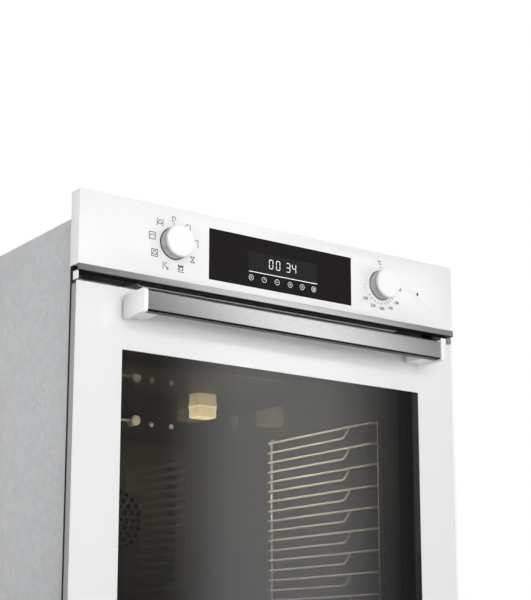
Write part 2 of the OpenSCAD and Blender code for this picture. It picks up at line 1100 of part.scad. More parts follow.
module door_top_trim() {
    half = step_x - 0.3;
    color("silver")
    from_front()
    difference() {
        union() {
            block(-half, half, print_y, door_rear, trim_z, trim_z + skin);
            block(-half, half, print_y, print_y + skin, trim_z - 14, trim_z);
            block(-lip_x + 0.3, lip_x - 0.3, door_rear - skin, door_rear, inner_top + 0.3,
                  trim_z);
        }
        for (x = [-220 : 40 : 220])
            translate([x, 24, trim_z - 1])
            linear_extrude(height = 4)
            round_rect(-14, 14, -3, 3, 2.9);
    }
}

module door_bottom_trim() {
    low = profile_low + 1;
    heel_y = 33;
    color("silver")
    from_front()
    sideways(-254, 254)
    polygon([[print_y, low], [heel_y, low], [heel_y, hinge_z], [door_rear, hinge_z],
             [door_rear, swing_z - 0.3], [door_rear - skin, swing_z - 0.3],
             [door_rear - skin, hinge_z + skin], [heel_y - skin, hinge_z + skin],
             [heel_y - skin, low + skin], [print_y + skin, low + skin], [print_y + skin, 40],
             [print_y, 40]]);
}

module door_glass_spacers() {
    color("black")
    from_front()
    for (x = [-246, 232], z = [52, 446]) {
        block(x, x + 14, middle_y + middle_t, door_rear - inner_t, z, z + 12);
        block(x, x + 14, print_y, middle_y, z, z + 12);
    }
}

// ---------- handle ----------

module handle_bar() {
    color("silver")
    from_front()
    difference() {
        sideways(-bar_l / 2, bar_l / 2)
        round_rect(-bar_out, -bar_out + bar_t, bar_top - bar_h, bar_top, 2.5);
        sideways(-bar_l / 2 - 1, bar_l / 2 + 1)
        round_rect(-bar_out + 2.2, -bar_out + bar_t - 2.2, bar_top - bar_h + 2.2,
                   bar_top - 2.2, 1);
    }
}

module handle_standoffs() {
    end = bar_l / 2;
    mid = bar_top - bar_h / 2;
    color("white")
    from_front()
    both_sides()
    difference() {
        union() {
            // end cap that closes the bar
            sideways(end, end + 5.2)
            round_rect(-bar_out - 2, 0, mid - 14.3, mid + 14.3, 4);
            // foot that stands on the glass behind the bar
            block(end - 22.3, end + 0.2, -bar_out + bar_t, 0, mid - 12, mid + 12);
        }
        rod_y(screw_x, -25, 1, screw_z, 2);
    }
}

module handle_screws() {
    color("gray")
    from_front()
    for (x = [-screw_x, screw_x]) {
        rod_y(x, -24.5, print_y, screw_z, 2);
        rod_y(x, print_y, print_y + 3, screw_z, 4.5);
    }
}

base_plate();
left_side_panel();
right_side_panel();
top_cover();
rear_cover();
chassis_back();
front_frame();
cavity_liner();
insulation();
door_gasket();
fan_baffle();
ring_heater();
upper_element();
bottom_element();
lamp_glass();
lamp_holder();
lamp_bulb();
temperature_probe();
left_side_rack();
right_side_rack();
control_panel();
panel_trim_strip();
panel_bracket();
display_window();
display_board();
knob_bezels();
function_switch();
thermostat_body();
indicator_lens();
air_duct();
blower_housing();
blower_motor();
convection_motor();
terminal_block();
cable_gland();
hinge_receivers();
hinge_arms();
hinge_pins();
cover_screws();
door_outer_glass();
door_enamel_print();
door_middle_glass();
door_inner_glass();
door_left_profile();
door_right_profile();
door_top_trim();
door_bottom_trim();
door_glass_spacers();
door_hinge_channels();
handle_bar();
handle_standoffs();
handle_screws();
function_shaft();
function_knob();
function_knob_cap();
thermostat_shaft();
thermostat_knob();
thermostat_knob_cap();
convection_fan();
blower_wheel();
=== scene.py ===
import json
import math

import bmesh
import bpy
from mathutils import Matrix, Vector


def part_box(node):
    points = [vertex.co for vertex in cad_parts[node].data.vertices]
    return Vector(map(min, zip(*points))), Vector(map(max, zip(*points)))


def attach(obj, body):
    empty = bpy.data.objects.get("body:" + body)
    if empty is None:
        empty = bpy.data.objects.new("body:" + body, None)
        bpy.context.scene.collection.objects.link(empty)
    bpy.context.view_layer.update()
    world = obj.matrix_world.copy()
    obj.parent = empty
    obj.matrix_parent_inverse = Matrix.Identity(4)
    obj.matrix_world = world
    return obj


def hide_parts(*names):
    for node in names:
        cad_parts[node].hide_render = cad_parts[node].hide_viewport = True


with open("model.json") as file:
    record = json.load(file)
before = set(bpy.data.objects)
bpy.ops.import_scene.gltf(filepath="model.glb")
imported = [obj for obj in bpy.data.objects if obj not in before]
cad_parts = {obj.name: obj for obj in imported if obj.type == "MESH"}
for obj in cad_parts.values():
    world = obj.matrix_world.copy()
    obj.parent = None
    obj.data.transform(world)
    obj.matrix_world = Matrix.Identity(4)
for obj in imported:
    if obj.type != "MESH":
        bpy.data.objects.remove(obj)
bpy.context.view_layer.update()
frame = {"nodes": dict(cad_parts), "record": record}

# A built-in wall oven. Sizes are in millimetres from the front face of the door glass, as on a
# drawing of the front: x to the right, y into the oven, z up. place() turns them into metres.
MM = 0.001
NODES = frame["nodes"]
SLOTS = {part["node"]: part["material_slot"] for part in frame["record"]["subparts"]}
BODY_OF = {n: body for body, nodes in frame["record"]["behaviour"]["bodies"].items() for n in nodes}


def in_mm(corner):
    return Vector((corner.x, corner.y - FRONT, corner.z)) / MM


def span(node):
    """Lowest and highest corner of a CAD node, in millimetres from the door glass."""
    low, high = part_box(node)
    return in_mm(low), in_mm(high)


def place(x, y, z):
    return Vector((x * MM, FRONT + y * MM, z * MM))


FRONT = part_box("door_outer_glass")[0].y
PANEL_LOW = span("control_panel")[0]
STRIP_LOW, STRIP_HIGH = span("panel_trim_strip")
DISPLAY_LOW = span("display_window")[0]
CAP_LOW, CAP_HIGH = span("thermostat_knob_cap")
BAR_LOW, BAR_HIGH = span("handle_bar")
LINER_LOW, LINER_HIGH = span("cavity_liner")
LAMP_LOW, LAMP_HIGH = span("lamp_glass")
RACK_LOW, RACK_HIGH = span("right_side_rack")
PROBE_LOW, PROBE_HIGH = span("temperature_probe")
KNOB_X = (CAP_LOW.x + CAP_HIGH.x) / 2
KNOB_Z = (CAP_LOW.z + CAP_HIGH.z) / 2
KNOB_R = (CAP_HIGH.x - CAP_LOW.x) / 2
KNOBS = {"function": -KNOB_X, "thermostat": KNOB_X}
STRIP_H = 8.2  # height of the brushed strip under the panel
STRIP_EDGE_Z = PANEL_LOW.z - STRIP_H


# ---------- camera, light and floor ----------

CAMERA_PLACE = (-1.0517, -1.6980, 0.0446)
CAMERA_YAW = 35.91  # degrees to the right of straight ahead
CAMERA_PITCH = 11.43  # degrees upwards
CAMERA_LENS = 84.78  # mm
CAMERA_RISE = 0.13  # shift, as a part of the picture's longer side
BACKDROP_FADE = (-0.12, 0.05)  # heights over which the mirrored backdrop brightens
GLOW_FADE = (0.05, 0.2)  # where the glow wall dims, as parts of its width
GLOW_EDGE = 0.2  # strength left at its sides
FLOOR_RADIUS = 14
FLOOR_DROP = 0.0005  # floor below the base, in metres


def add_object(name, data, where=(0, 0, 0)):
    thing = bpy.data.objects.new(name, data)
    thing.location = where
    bpy.context.scene.collection.objects.link(thing)
    return thing


def make_camera():
    data = bpy.data.cameras.new("camera")
    data.lens = CAMERA_LENS
    data.sensor_width = 36
    data.shift_y = CAMERA_RISE
    camera = add_object("camera", data, CAMERA_PLACE)
    camera.rotation_euler = (math.radians(90 + CAMERA_PITCH), 0, -math.radians(CAMERA_YAW))
    bpy.context.scene.camera = camera


def soft_light(name, where, target, width, height, watts, colour=(1, 1, 1)):
    data = bpy.data.lights.new(name, "AREA")
    data.shape = "RECTANGLE"
    data.size = width
    data.size_y = height
    data.energy = watts
    data.color = colour
    light = add_object(name, data, where)
    towards = Vector(target) - Vector(where)
    light.rotation_euler = towards.to_track_quat("-Z", "Y").to_euler()
    return light


def lamp_light(name, where, watts, size, colour):
    data = bpy.data.lights.new(name, "POINT")
    data.energy = watts
    data.color = colour
    data.shadow_soft_size = size
    return add_object(name, data, where)


def map_range(tree, value, low, high, start=0.0, end=1.0):
    """A node that turns start to end into low to high."""
    node = tree.nodes.new("ShaderNodeMapRange")
    for socket, number in (("From Min", start), ("From Max", end), ("To Min", low),
                           ("To Max", high)):
        node.inputs[socket].default_value = number
    tree.links.new(value, node.inputs["Value"])
    return node


def make_world(shown, lighting, mirrored, mirrored_low):
    """A plain backdrop: white where it is looked at, grey as a source of light, dark low down."""
    world = bpy.data.worlds.new("studio")
    bpy.context.scene.world = world
    world.use_nodes = True
    tree = world.node_tree
    tree.nodes.clear()
    rays = tree.nodes.new("ShaderNodeLightPath")
    where = tree.nodes.new("ShaderNodeTexCoord")
    parts = tree.nodes.new("ShaderNodeSeparateXYZ")
    height = map_range(tree, parts.outputs["Z"], mirrored_low, mirrored, *BACKDROP_FADE)
    tree.links.new(where.outputs["Generated"], parts.inputs[0])
    output = tree.nodes.new("ShaderNodeOutputWorld")
    backs = []
    for strength in (lighting, mirrored, shown):
        back = tree.nodes.new("ShaderNodeBackground")
        back.inputs["Color"].default_value = (1, 1, 1, 1)
        back.inputs["Strength"].default_value = strength
        backs.append(back)
    tree.links.new(height.outputs[0], backs[1].inputs["Strength"])
    mirror = tree.nodes.new("ShaderNodeMixShader")
    seen = tree.nodes.new("ShaderNodeMixShader")
    tree.links.new(rays.outputs["Is Glossy Ray"], mirror.inputs[0])
    tree.links.new(backs[0].outputs[0], mirror.inputs[1])
    tree.links.new(backs[1].outputs[0], mirror.inputs[2])
    tree.links.new(rays.outputs["Is Camera Ray"], seen.inputs[0])
    tree.links.new(mirror.outputs[0], seen.inputs[1])
    tree.links.new(backs[2].outputs[0], seen.inputs[2])
    tree.links.new(seen.outputs[0], output.inputs["Surface"])


def glow_wall(place_at=(1.13, -1.80, 0.8), width=1.7, height=2.2, strength=1.8):
    """A tall soft panel, bright along its middle, that shows in the metal and the glass."""
    bm = bmesh.new()
    bmesh.ops.create_grid(bm, x_segments=8, y_segments=8, size=0.5)
    mesh = bpy.data.meshes.new("glow_wall")
    bm.to_mesh(mesh)
    bm.free()
    wall = add_object("glow_wall", mesh, place_at)
    wall.scale = (width, height, 1)
    towards = Vector((0, FRONT, 0.45)) - Vector(place_at)
    wall.rotation_euler = towards.to_track_quat("Z", "Y").to_euler()
    wall.visible_camera = False
    wall.visible_shadow = False
    wall.visible_diffuse = False
    material = bpy.data.materials.new("glow_wall")
    material.use_nodes = True
    tree = material.node_tree
    tree.nodes.clear()
    where = tree.nodes.new("ShaderNodeTexCoord")
    parts = tree.nodes.new("ShaderNodeSeparateXYZ")
    across = tree.nodes.new("ShaderNodeMath")
    across.operation = "ABSOLUTE"
    fade = map_range(tree, across.outputs[0], strength, GLOW_EDGE, *GLOW_FADE)
    fade.interpolation_type = "SMOOTHSTEP"
    light = tree.nodes.new("ShaderNodeEmission")
    output = tree.nodes.new("ShaderNodeOutputMaterial")
    tree.links.new(where.outputs["Object"], parts.inputs[0])
    tree.links.new(parts.outputs["X"], across.inputs[0])
    tree.links.new(fade.outputs[0], light.inputs["Strength"])
    tree.links.new(light.outputs[0], output.inputs["Surface"])
    mesh.materials.append(material)


def make_floor():
    bm = bmesh.new()
    bmesh.ops.create_circle(bm, cap_ends=True, segments=128, radius=FLOOR_RADIUS)
    mesh = bpy.data.meshes.new("floor")
    bm.to_mesh(mesh)
    bm.free()
    floor = add_object("floor", mesh, (0, 0, -FLOOR_DROP))
    floor.visible_glossy = False
    paint = Paint("floor_paint", (0.8, 0.8, 0.8), 0.7, Emission_Strength=0.15)
    paint.shader.inputs["Emission Color"].default_value = (1, 1, 1, 1)
    paint.vary_roughness(paint.noise(30), 0.6, 0.8)
    mesh.materials.append(paint.material)


# ---------- materials ----------

# Sockets of a Mix node that mixes colours
MIX_A, MIX_B, MIX_RESULT = 6, 7, 2
# Painted shade: near black laid on the undersides of the brushed strip and the handle bar
UNDERSIDE_SHADE_BLACK = (0.035, 0.035, 0.036, 1)


class Paint:
    """A material being made: one Principled shader and the nodes that feed it."""

    def __init__(self, name, colour, roughness, metallic=0.0, **plain):
        self.material = bpy.data.materials.new(name)
        self.material.use_nodes = True
        self.tree = self.material.node_tree
        self.shader = self.tree.nodes["Principled BSDF"]
        self.shader.inputs["Base Color"].default_value = (*colour, 1)
        self.shader.inputs["Roughness"].default_value = roughness
        self.shader.inputs["Metallic"].default_value = metallic
        for socket, value in plain.items():
            self.shader.inputs[socket.replace("_", " ")].default_value = value
        self.where = self.tree.nodes.new("ShaderNodeTexCoord").outputs["Object"]
        self.normal = None

    def link(self, output, node, socket):
        self.tree.links.new(output, node.inputs[socket])

    def stretched(self, stretch):
        mapping = self.tree.nodes.new("ShaderNodeMapping")
        mapping.inputs["Scale"].default_value = stretch
        self.link(self.where, mapping, "Vector")
        return mapping.outputs[0]

    def noise(self, scale, stretch=(1, 1, 1), detail=3.0):
        """Noise of about scale grains a metre, stretched along the axes."""
        node = self.tree.nodes.new("ShaderNodeTexNoise")
        node.inputs["Scale"].default_value = scale
        node.inputs["Detail"].default_value = detail
        self.link(self.stretched(stretch), node, "Vector")
        return node.outputs["Fac"]

    def cells(self, scale, output="Color", stretch=(1, 1, 1)):
        node = self.tree.nodes.new("ShaderNodeTexVoronoi")
        node.inputs["Scale"].default_value = scale
        self.link(self.stretched(stretch), node, "Vector")
        return node.outputs[output]

    def waves(self, scale, direction, distortion=0.0):
        node = self.tree.nodes.new("ShaderNodeTexWave")
        node.bands_direction = direction
        node.inputs["Scale"].default_value = scale
        node.inputs["Distortion"].default_value = distortion
        self.link(self.where, node, "Vector")
        return node.outputs["Fac"]

    def ranged(self, value, low, high, start=0.0, end=1.0):
        return map_range(self.tree, value, low, high, start, end).outputs[0]

    def two_tone(self, value, dark, light):
        node = self.tree.nodes.new("ShaderNodeMix")
        node.data_type = "RGBA"
        node.inputs[MIX_A].default_value = (*dark, 1)
        node.inputs[MIX_B].default_value = (*light, 1)
        self.link(value, node, 0)
        return node.outputs[MIX_RESULT]

    def vary_colour(self, value, dark, light):
        self.link(self.two_tone(value, dark, light), self.shader, "Base Color")

    def vary_roughness(self, value, low, high):
        self.link(self.ranged(value, low, high), self.shader, "Roughness")

    def bump(self, height, depth_mm, strength=1.0):
        node = self.tree.nodes.new("ShaderNodeBump")
        node.inputs["Strength"].default_value = strength
        node.inputs["Distance"].default_value = depth_mm * MM
        self.link(height, node, "Height")
        if self.normal is not None:
            self.link(self.normal, node, "Normal")
        self.normal = node.outputs[0]
        self.link(self.normal, self.shader, "Normal")

    def brush(self, axis):
        """Grooves along an axis: light spreads across them."""
        node = self.tree.nodes.new("ShaderNodeTangent")
        node.direction_type = "RADIAL"
        node.axis = axis
        self.link(node.outputs[0], self.shader, "Tangent")


def white_panel():
    paint = Paint("white_enamel", (0.85, 0.85, 0.848), 0.28, Coat_Weight=0.3, Coat_Roughness=0.08)
    paint.vary_colour(paint.noise(9), (0.84, 0.84, 0.838), (0.86, 0.86, 0.858))
    paint.vary_roughness(paint.noise(240), 0.24, 0.34)
    paint.bump(paint.noise(900, detail=1), 0.012)
    return paint.material


def white_print():
    paint = Paint("white_ceramic_print", (0.88, 0.88, 0.88), 0.5)
    paint.vary_colour(paint.noise(700, detail=1), (0.87, 0.87, 0.87), (0.895, 0.895, 0.895))
    paint.vary_roughness(paint.noise(60), 0.45, 0.6)
    paint.bump(paint.noise(2500, detail=1), 0.006)
    return paint.material


def pane(name, tint, mirrored):
    """Flat glass: it tints what is behind it and mirrors more at a grazing angle."""
    material = bpy.data.materials.new(name)
    material.use_nodes = True
    tree = material.node_tree
    tree.nodes.clear()
    clear = tree.nodes.new("ShaderNodeBsdfTransparent")
    clear.inputs["Color"].default_value = (*tint, 1)
    gloss = tree.nodes.new("ShaderNodeBsdfGlossy")
    gloss.inputs["Roughness"].default_value = 0.03
    facing = tree.nodes.new("ShaderNodeLayerWeight")
    facing.inputs["Blend"].default_value = 0.5
    grazing = tree.nodes.new("ShaderNodeMath")
    grazing.operation = "POWER"
    grazing.inputs[1].default_value = 5
    share = map_range(tree, grazing.outputs[0], mirrored, 1.0)
    ripple = tree.nodes.new("ShaderNodeTexNoise")
    ripple.inputs["Scale"].default_value = 9
    where = tree.nodes.new("ShaderNodeTexCoord")
    bump = tree.nodes.new("ShaderNodeBump")
    bump.inputs["Distance"].default_value = 0.02 * MM
    mix = tree.nodes.new("ShaderNodeMixShader")
    output = tree.nodes.new("ShaderNodeOutputMaterial")
    tree.links.new(where.outputs["Object"], ripple.inputs["Vector"])
    tree.links.new(ripple.outputs["Fac"], bump.inputs["Height"])
    tree.links.new(bump.outputs[0], gloss.inputs["Normal"])
    tree.links.new(facing.outputs["Facing"], grazing.inputs[0])
    tree.links.new(share.outputs[0], mix.inputs[0])
    tree.links.new(clear.outputs[0], mix.inputs[1])
    tree.links.new(gloss.outputs[0], mix.inputs[2])
    tree.links.new(mix.outputs[0], output.inputs["Surface"])
    return material


def outer_glass():
    return pane("clear_glass", (0.99, 0.99, 0.99), 0.035)


def tinted_glass():
    return pane("grey_glass", (0.84, 0.84, 0.835), 0.004)


def black_glass():
    paint = Paint("black_display_glass", (0.013, 0.0105, 0.011), 0.45, Specular_IOR_Level=0.1)
    paint.vary_colour(paint.noise(9), (0.0115, 0.009, 0.0095), (0.0145, 0.012, 0.0125))
    paint.vary_roughness(paint.noise(90), 0.4, 0.5)
    return paint.material


def brushed(name, dark, light, roughness, axis, stretch, grain, shade_z):
    """Brushed steel with painted shade: below shade_z, in mm, its turned-in lower edge is painted
    near black.
    """
    paint = Paint(name, light, roughness, 1.0, Anisotropic=0.8)
    steel = paint.two_tone(paint.noise(grain, stretch, 2), dark, light)
    parts = paint.tree.nodes.new("ShaderNodeSeparateXYZ")
    paint.link(paint.where, parts, 0)
    # Mask of the painted shade: 0 below shade_z, where the colour is painted near black, 1 above it
    edge = paint.ranged(parts.outputs["Z"], 0.0, 1.0, (shade_z - 0.5) * MM, (shade_z + 0.5) * MM)
    shaded = paint.tree.nodes.new("ShaderNodeMix")
    shaded.data_type = "RGBA"
    shaded.inputs[MIX_A].default_value = UNDERSIDE_SHADE_BLACK
    paint.link(edge, shaded, 0)
    paint.link(steel, shaded, MIX_B)
    paint.link(shaded.outputs[MIX_RESULT], paint.shader, "Base Color")
    paint.vary_roughness(paint.noise(grain * 1.7, stretch, 2), roughness - 0.06, roughness + 0.08)
    paint.bump(paint.noise(grain * 1.3, stretch, 2), 0.02, 0.6)
    paint.brush(axis)
    return paint.material


def trim_steel():
    # The strip's turned-in lower edge is painted dark as shade, up to 0.4 mm above its bottom
    return brushed("brushed_trim", (0.56, 0.56, 0.56), (0.74, 0.74, 0.74), 0.36, "X",
                   (0.03, 1, 1), 900, STRIP_EDGE_Z + 0.4)


def handle_steel():
    # The bar's lowest 1.8 mm is painted dark as shade
    return brushed("brushed_handle", (0.5, 0.5, 0.5), (0.72, 0.72, 0.72), 0.3, "X",
                   (0.12, 1, 1), 800, BAR_LOW.z + 1.8)


def white_plastic():
    paint = Paint("white_plastic", (0.88, 0.88, 0.875), 0.35, IOR=1.5)
    paint.vary_colour(paint.noise(40), (0.87, 0.87, 0.865), (0.895, 0.895, 0.89))
    paint.vary_roughness(paint.noise(500), 0.3, 0.42)
    paint.bump(paint.noise(2200, detail=1), 0.01)
    return paint.material


def knob_metal():
    paint = Paint("satin_knob_metal", (0.52, 0.52, 0.515), 0.38, 1.0)
    paint.vary_colour(paint.noise(2600, (1, 0.05, 1), 2), (0.47, 0.47, 0.465), (0.56, 0.56, 0.555))
    paint.vary_roughness(paint.noise(1300, (1, 0.05, 1)), 0.32, 0.44)
    paint.bump(paint.noise(2600, (1, 0.05, 1), 2), 0.008)
    return paint.material


def cavity_enamel():
    """Dark grey oven enamel with fine light specks and a slightly wavy gloss."""
    paint = Paint("oven_enamel", (0.035, 0.035, 0.034), 0.25, Coat_Weight=1.0, Coat_Roughness=0.06)
    specks = paint.ranged(paint.cells(620, "Distance"), 1.0, 0.0, 0.05, 0.22)
    paint.vary_colour(specks, (0.022, 0.022, 0.021), (0.038, 0.038, 0.036))
    paint.vary_roughness(paint.noise(400), 0.22, 0.27)
    paint.bump(paint.noise(500, detail=1), 0.003, 0.4)
    return paint.material


def frame_enamel():
    paint = Paint("black_enamel", (0.03, 0.03, 0.031), 0.3, Coat_Weight=0.4, Coat_Roughness=0.15)
    paint.vary_colour(paint.noise(500), (0.026, 0.026, 0.027), (0.04, 0.04, 0.041))
    paint.vary_roughness(paint.noise(150), 0.26, 0.4)
    paint.bump(paint.noise(420, detail=2), 0.03, 0.6)
    return paint.material


def chrome_wire():
    paint = Paint("chrome_wire", (0.94, 0.94, 0.93), 0.2, 0.45)
    paint.vary_colour(paint.noise(60), (0.9, 0.9, 0.89), (0.97, 0.97, 0.96))
    paint.vary_roughness(paint.noise(300), 0.15, 0.26)
    paint.bump(paint.noise(700), 0.008)
    return paint.material


def galvanised():
    """Zinc-coated sheet with its crystal spangle."""
    paint = Paint("galvanised_sheet", (0.78, 0.79, 0.8), 0.45, 0.45)
    spangle = paint.cells(140, "Color")
    grey = paint.tree.nodes.new("ShaderNodeRGBToBW")
    paint.link(spangle, grey, 0)
    paint.vary_colour(grey.outputs[0], (0.74, 0.75, 0.76), (0.83, 0.84, 0.85))
    paint.vary_roughness(grey.outputs[0], 0.4, 0.52)
    paint.bump(paint.noise(160), 0.05, 0.3)
    return paint.material


def door_steel():
    paint = Paint("satin_grey_paint", (0.5, 0.5, 0.5), 0.45, 0.3)
    paint.vary_colour(paint.noise(300), (0.46, 0.46, 0.46), (0.53, 0.53, 0.53))
    paint.vary_roughness(paint.noise(90), 0.4, 0.52)
    paint.bump(paint.noise(1200), 0.015)
    return paint.material


def hinge_steel():
    paint = Paint("zinc_plate", (0.55, 0.55, 0.54), 0.35, 1.0)
    paint.vary_colour(paint.noise(70), (0.45, 0.45, 0.44), (0.62, 0.62, 0.6))
    paint.vary_roughness(paint.noise(400), 0.28, 0.45)
    paint.bump(paint.noise(900), 0.015)
    return paint.material


def mineral_wool():
    paint = Paint("mineral_wool", (0.62, 0.52, 0.28), 0.95, Sheen_Weight=0.3)
    fibres = paint.noise(420, (1, 0.15, 1), 6)
    paint.vary_colour(fibres, (0.42, 0.34, 0.16), (0.72, 0.63, 0.4))
    paint.vary_roughness(paint.noise(100), 0.88, 1.0)
    paint.bump(fibres, 0.8, 0.8)
    return paint.material


def gasket_rubber():
    paint = Paint("silicone_rubber", (0.07, 0.07, 0.07), 0.6)
    paint.vary_colour(paint.noise(200), (0.05, 0.05, 0.05), (0.1, 0.1, 0.1))
    paint.vary_roughness(paint.noise(500), 0.5, 0.7)
    paint.bump(paint.noise(1500), 0.03)
    return paint.material


def heater_steel():
    """Element sheath with the straw and blue stains that heat leaves."""
    paint = Paint("heated_sheath", (0.2, 0.17, 0.15), 0.4, 1.0)
    paint.vary_colour(paint.noise(28, detail=4), (0.13, 0.13, 0.17), (0.34, 0.26, 0.18))
    paint.vary_roughness(paint.noise(350), 0.34, 0.52)
    paint.bump(paint.noise(900), 0.02)
    return paint.material


LAMP_GLOW = 1.5
LAMP_RIBS = 70


def lamp_cover():
    """Pressed glass lit from behind by the lamp: its thick edges shine more than its face."""
    paint = Paint("pressed_lamp_glass", (0.5, 0.45, 0.33), 0.15, IOR=1.5,
                  Emission_Strength=LAMP_GLOW)
    facing = paint.tree.nodes.new("ShaderNodeLayerWeight")
    facing.inputs["Blend"].default_value = 0.5
    edge = paint.ranged(facing.outputs["Facing"], 0.0, 1.0, 0.35, 0.8)
    ribs = paint.ranged(paint.waves(LAMP_RIBS, "Z", 1.0), 0.0, 0.4)
    both = paint.tree.nodes.new("ShaderNodeMath")
    both.use_clamp = True
    paint.link(edge, both, 0)
    paint.link(ribs, both, 1)
    glow = paint.two_tone(both.outputs[0], (0.36, 0.27, 0.12), (0.92, 0.78, 0.5))
    paint.link(glow, paint.shader, "Emission Color")
    paint.bump(paint.waves(LAMP_RIBS, "Z", 1.0), 0.3, 0.5)
    paint.vary_roughness(paint.noise(300), 0.1, 0.22)
    return paint.material


def lamp_capsule():
    paint = Paint("lit_capsule", (1.0, 0.9, 0.7), 0.1, Emission_Strength=6)
    paint.link(paint.two_tone(paint.noise(300), (1.0, 0.75, 0.4), (1.0, 0.88, 0.62)),
               paint.shader, "Emission Color")
    return paint.material


def pilot_red():
    paint = Paint("red_pilot_lens", (0.5, 0.02, 0.02), 0.2, Coat_Weight=0.5,
                  Emission_Color=(0.6, 0.01, 0.01, 1), Emission_Strength=0.25)
    paint.vary_colour(paint.noise(900), (0.36, 0.012, 0.015), (0.55, 0.03, 0.03))
    paint.bump(paint.waves(900, "Z"), 0.05)
    return paint.material


def white_ceramic():
    paint = Paint("fired_ceramic", (0.83, 0.81, 0.76), 0.6)
    paint.vary_colour(paint.noise(300), (0.78, 0.76, 0.7), (0.87, 0.85, 0.8))
    paint.vary_roughness(paint.noise(200), 0.5, 0.7)
    paint.bump(paint.noise(1500), 0.03)
    return paint.material


def ivory_plastic():
    paint = Paint("ivory_plastic", (0.78, 0.74, 0.63), 0.5)
    paint.vary_colour(paint.noise(60), (0.74, 0.7, 0.59), (0.82, 0.78, 0.67))
    paint.vary_roughness(paint.noise(400), 0.42, 0.58)
    paint.bump(paint.noise(1800), 0.02)
    return paint.material


def circuit_board():
    """Solder mask over copper tracks."""
    paint = Paint("solder_mask", (0.02, 0.16, 0.06), 0.35, Coat_Weight=0.4)
    tracks = paint.tree.nodes.new("ShaderNodeTexBrick")
    tracks.inputs["Scale"].default_value = 130
    tracks.inputs["Mortar Size"].default_value = 0.03
    tracks.inputs["Color1"].default_value = (0.012, 0.12, 0.045, 1)
    tracks.inputs["Color2"].default_value = (0.02, 0.16, 0.06, 1)
    tracks.inputs["Mortar"].default_value = (0.05, 0.3, 0.12, 1)
    turned = paint.tree.nodes.new("ShaderNodeMapping")
    turned.inputs["Rotation"].default_value = (math.radians(90), 0, 0)
    paint.link(paint.where, turned, "Vector")
    paint.link(turned.outputs[0], tracks, "Vector")
    paint.link(tracks.outputs["Color"], paint.shader, "Base Color")
    paint.vary_roughness(paint.noise(500), 0.3, 0.42)
    return paint.material


def motor_steel():
    """Stacked motor plates."""
    paint = Paint("motor_plates", (0.36, 0.36, 0.37), 0.45, 0.9)
    plates = paint.waves(320, "Z")
    paint.vary_colour(plates, (0.26, 0.26, 0.27), (0.42, 0.42, 0.43))
    paint.vary_roughness(paint.noise(150), 0.38, 0.55)
    paint.bump(plates, 0.12)
    return paint.material


def fan_metal():
    paint = Paint("stamped_fan", (0.55, 0.55, 0.54), 0.4, 1.0)
    paint.vary_colour(paint.noise(70), (0.46, 0.45, 0.44), (0.62, 0.61, 0.59))
    paint.vary_roughness(paint.noise(350), 0.32, 0.5)
    paint.bump(paint.noise(600), 0.02)
    return paint.material


def shaft_brass():
    paint = Paint("turned_brass", (0.7, 0.53, 0.24), 0.3, 1.0)
    paint.vary_colour(paint.noise(90), (0.6, 0.45, 0.19), (0.75, 0.58, 0.28))
    paint.vary_roughness(paint.noise(400), 0.22, 0.36)
    paint.bump(paint.waves(1200, "Y", 0.5), 0.01)
    return paint.material


def printed(name, colour):
    """Screen-printed ink, a little uneven."""
    paint = Paint(name, colour, 0.55, Specular_IOR_Level=0.2)
    paint.vary_colour(paint.noise(1800), [c * 0.85 for c in colour], [c * 1.15 for c in colour])
    paint.vary_roughness(paint.noise(600), 0.5, 0.62)
    return paint.material


def lit_figures():
    paint = Paint("lit_figures", (0.8, 0.8, 0.8), 0.5, Emission_Strength=0.75)
    paint.link(paint.two_tone(paint.noise(900), (0.82, 0.86, 0.88), (1.0, 1.0, 1.0)),
               paint.shader, "Emission Color")
    return paint.material


MAKERS = (white_panel, white_print, outer_glass, tinted_glass, black_glass, trim_steel,
          handle_steel, white_plastic, knob_metal, cavity_enamel, frame_enamel, chrome_wire,
          galvanised, door_steel, hinge_steel, mineral_wool, gasket_rubber, heater_steel,
          lamp_cover, lamp_capsule, pilot_red, white_ceramic, ivory_plastic, circuit_board,
          motor_steel, fan_metal, shaft_brass)
MATERIALS = {maker.__name__: maker() for maker in MAKERS}


def dress_nodes():
    """Every CAD node gets the material of its slot."""
    for name, node in NODES.items():
        node.data.materials.clear()
        node.data.materials.append(MATERIALS[SLOTS[name]])


# ---------- pieces ----------

def add_piece(name, bm, slot, body, replaced=(), sharp=35, material=None):
    """Turns a bmesh whose points are in metres into a piece that rides on a body."""
    bmesh.ops.recalc_face_normals(bm, faces=bm.faces)
    mesh = bpy.data.meshes.new(name)
    bm.to_mesh(mesh)
    bm.free()
    mesh.shade_smooth()
    mesh.set_sharp_from_angle(angle=math.radians(sharp))
    mesh.materials.append(material or MATERIALS[slot])
    piece = add_object(name, mesh)
    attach(piece, body)
    if replaced:
        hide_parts(*replaced)
    return piece


def refined(node, radius, segments=3, turn=30):
    """The node's own shape as a clean mesh whose hard edges are rounded by radius, in mm."""
    bm = bmesh.new()
    bm.from_mesh(NODES[node].data)
    bmesh.ops.remove_doubles(bm, verts=bm.verts, dist=0.002 * MM)
    bmesh.ops.dissolve_limit(bm, angle_limit=math.radians(0.5), verts=bm.verts, edges=bm.edges)
    hard = [e for e in bm.edges if len(e.link_faces) == 2
            and e.calc_face_angle(0) > math.radians(turn)]
    bmesh.ops.bevel(bm, geom=hard, offset=radius * MM, offset_type="OFFSET", segments=segments,
                    profile=0.5, affect="EDGES", clamp_overlap=True)
    return add_piece(f"{node}_shape", bm, SLOTS[node], BODY_OF[node], (node,))


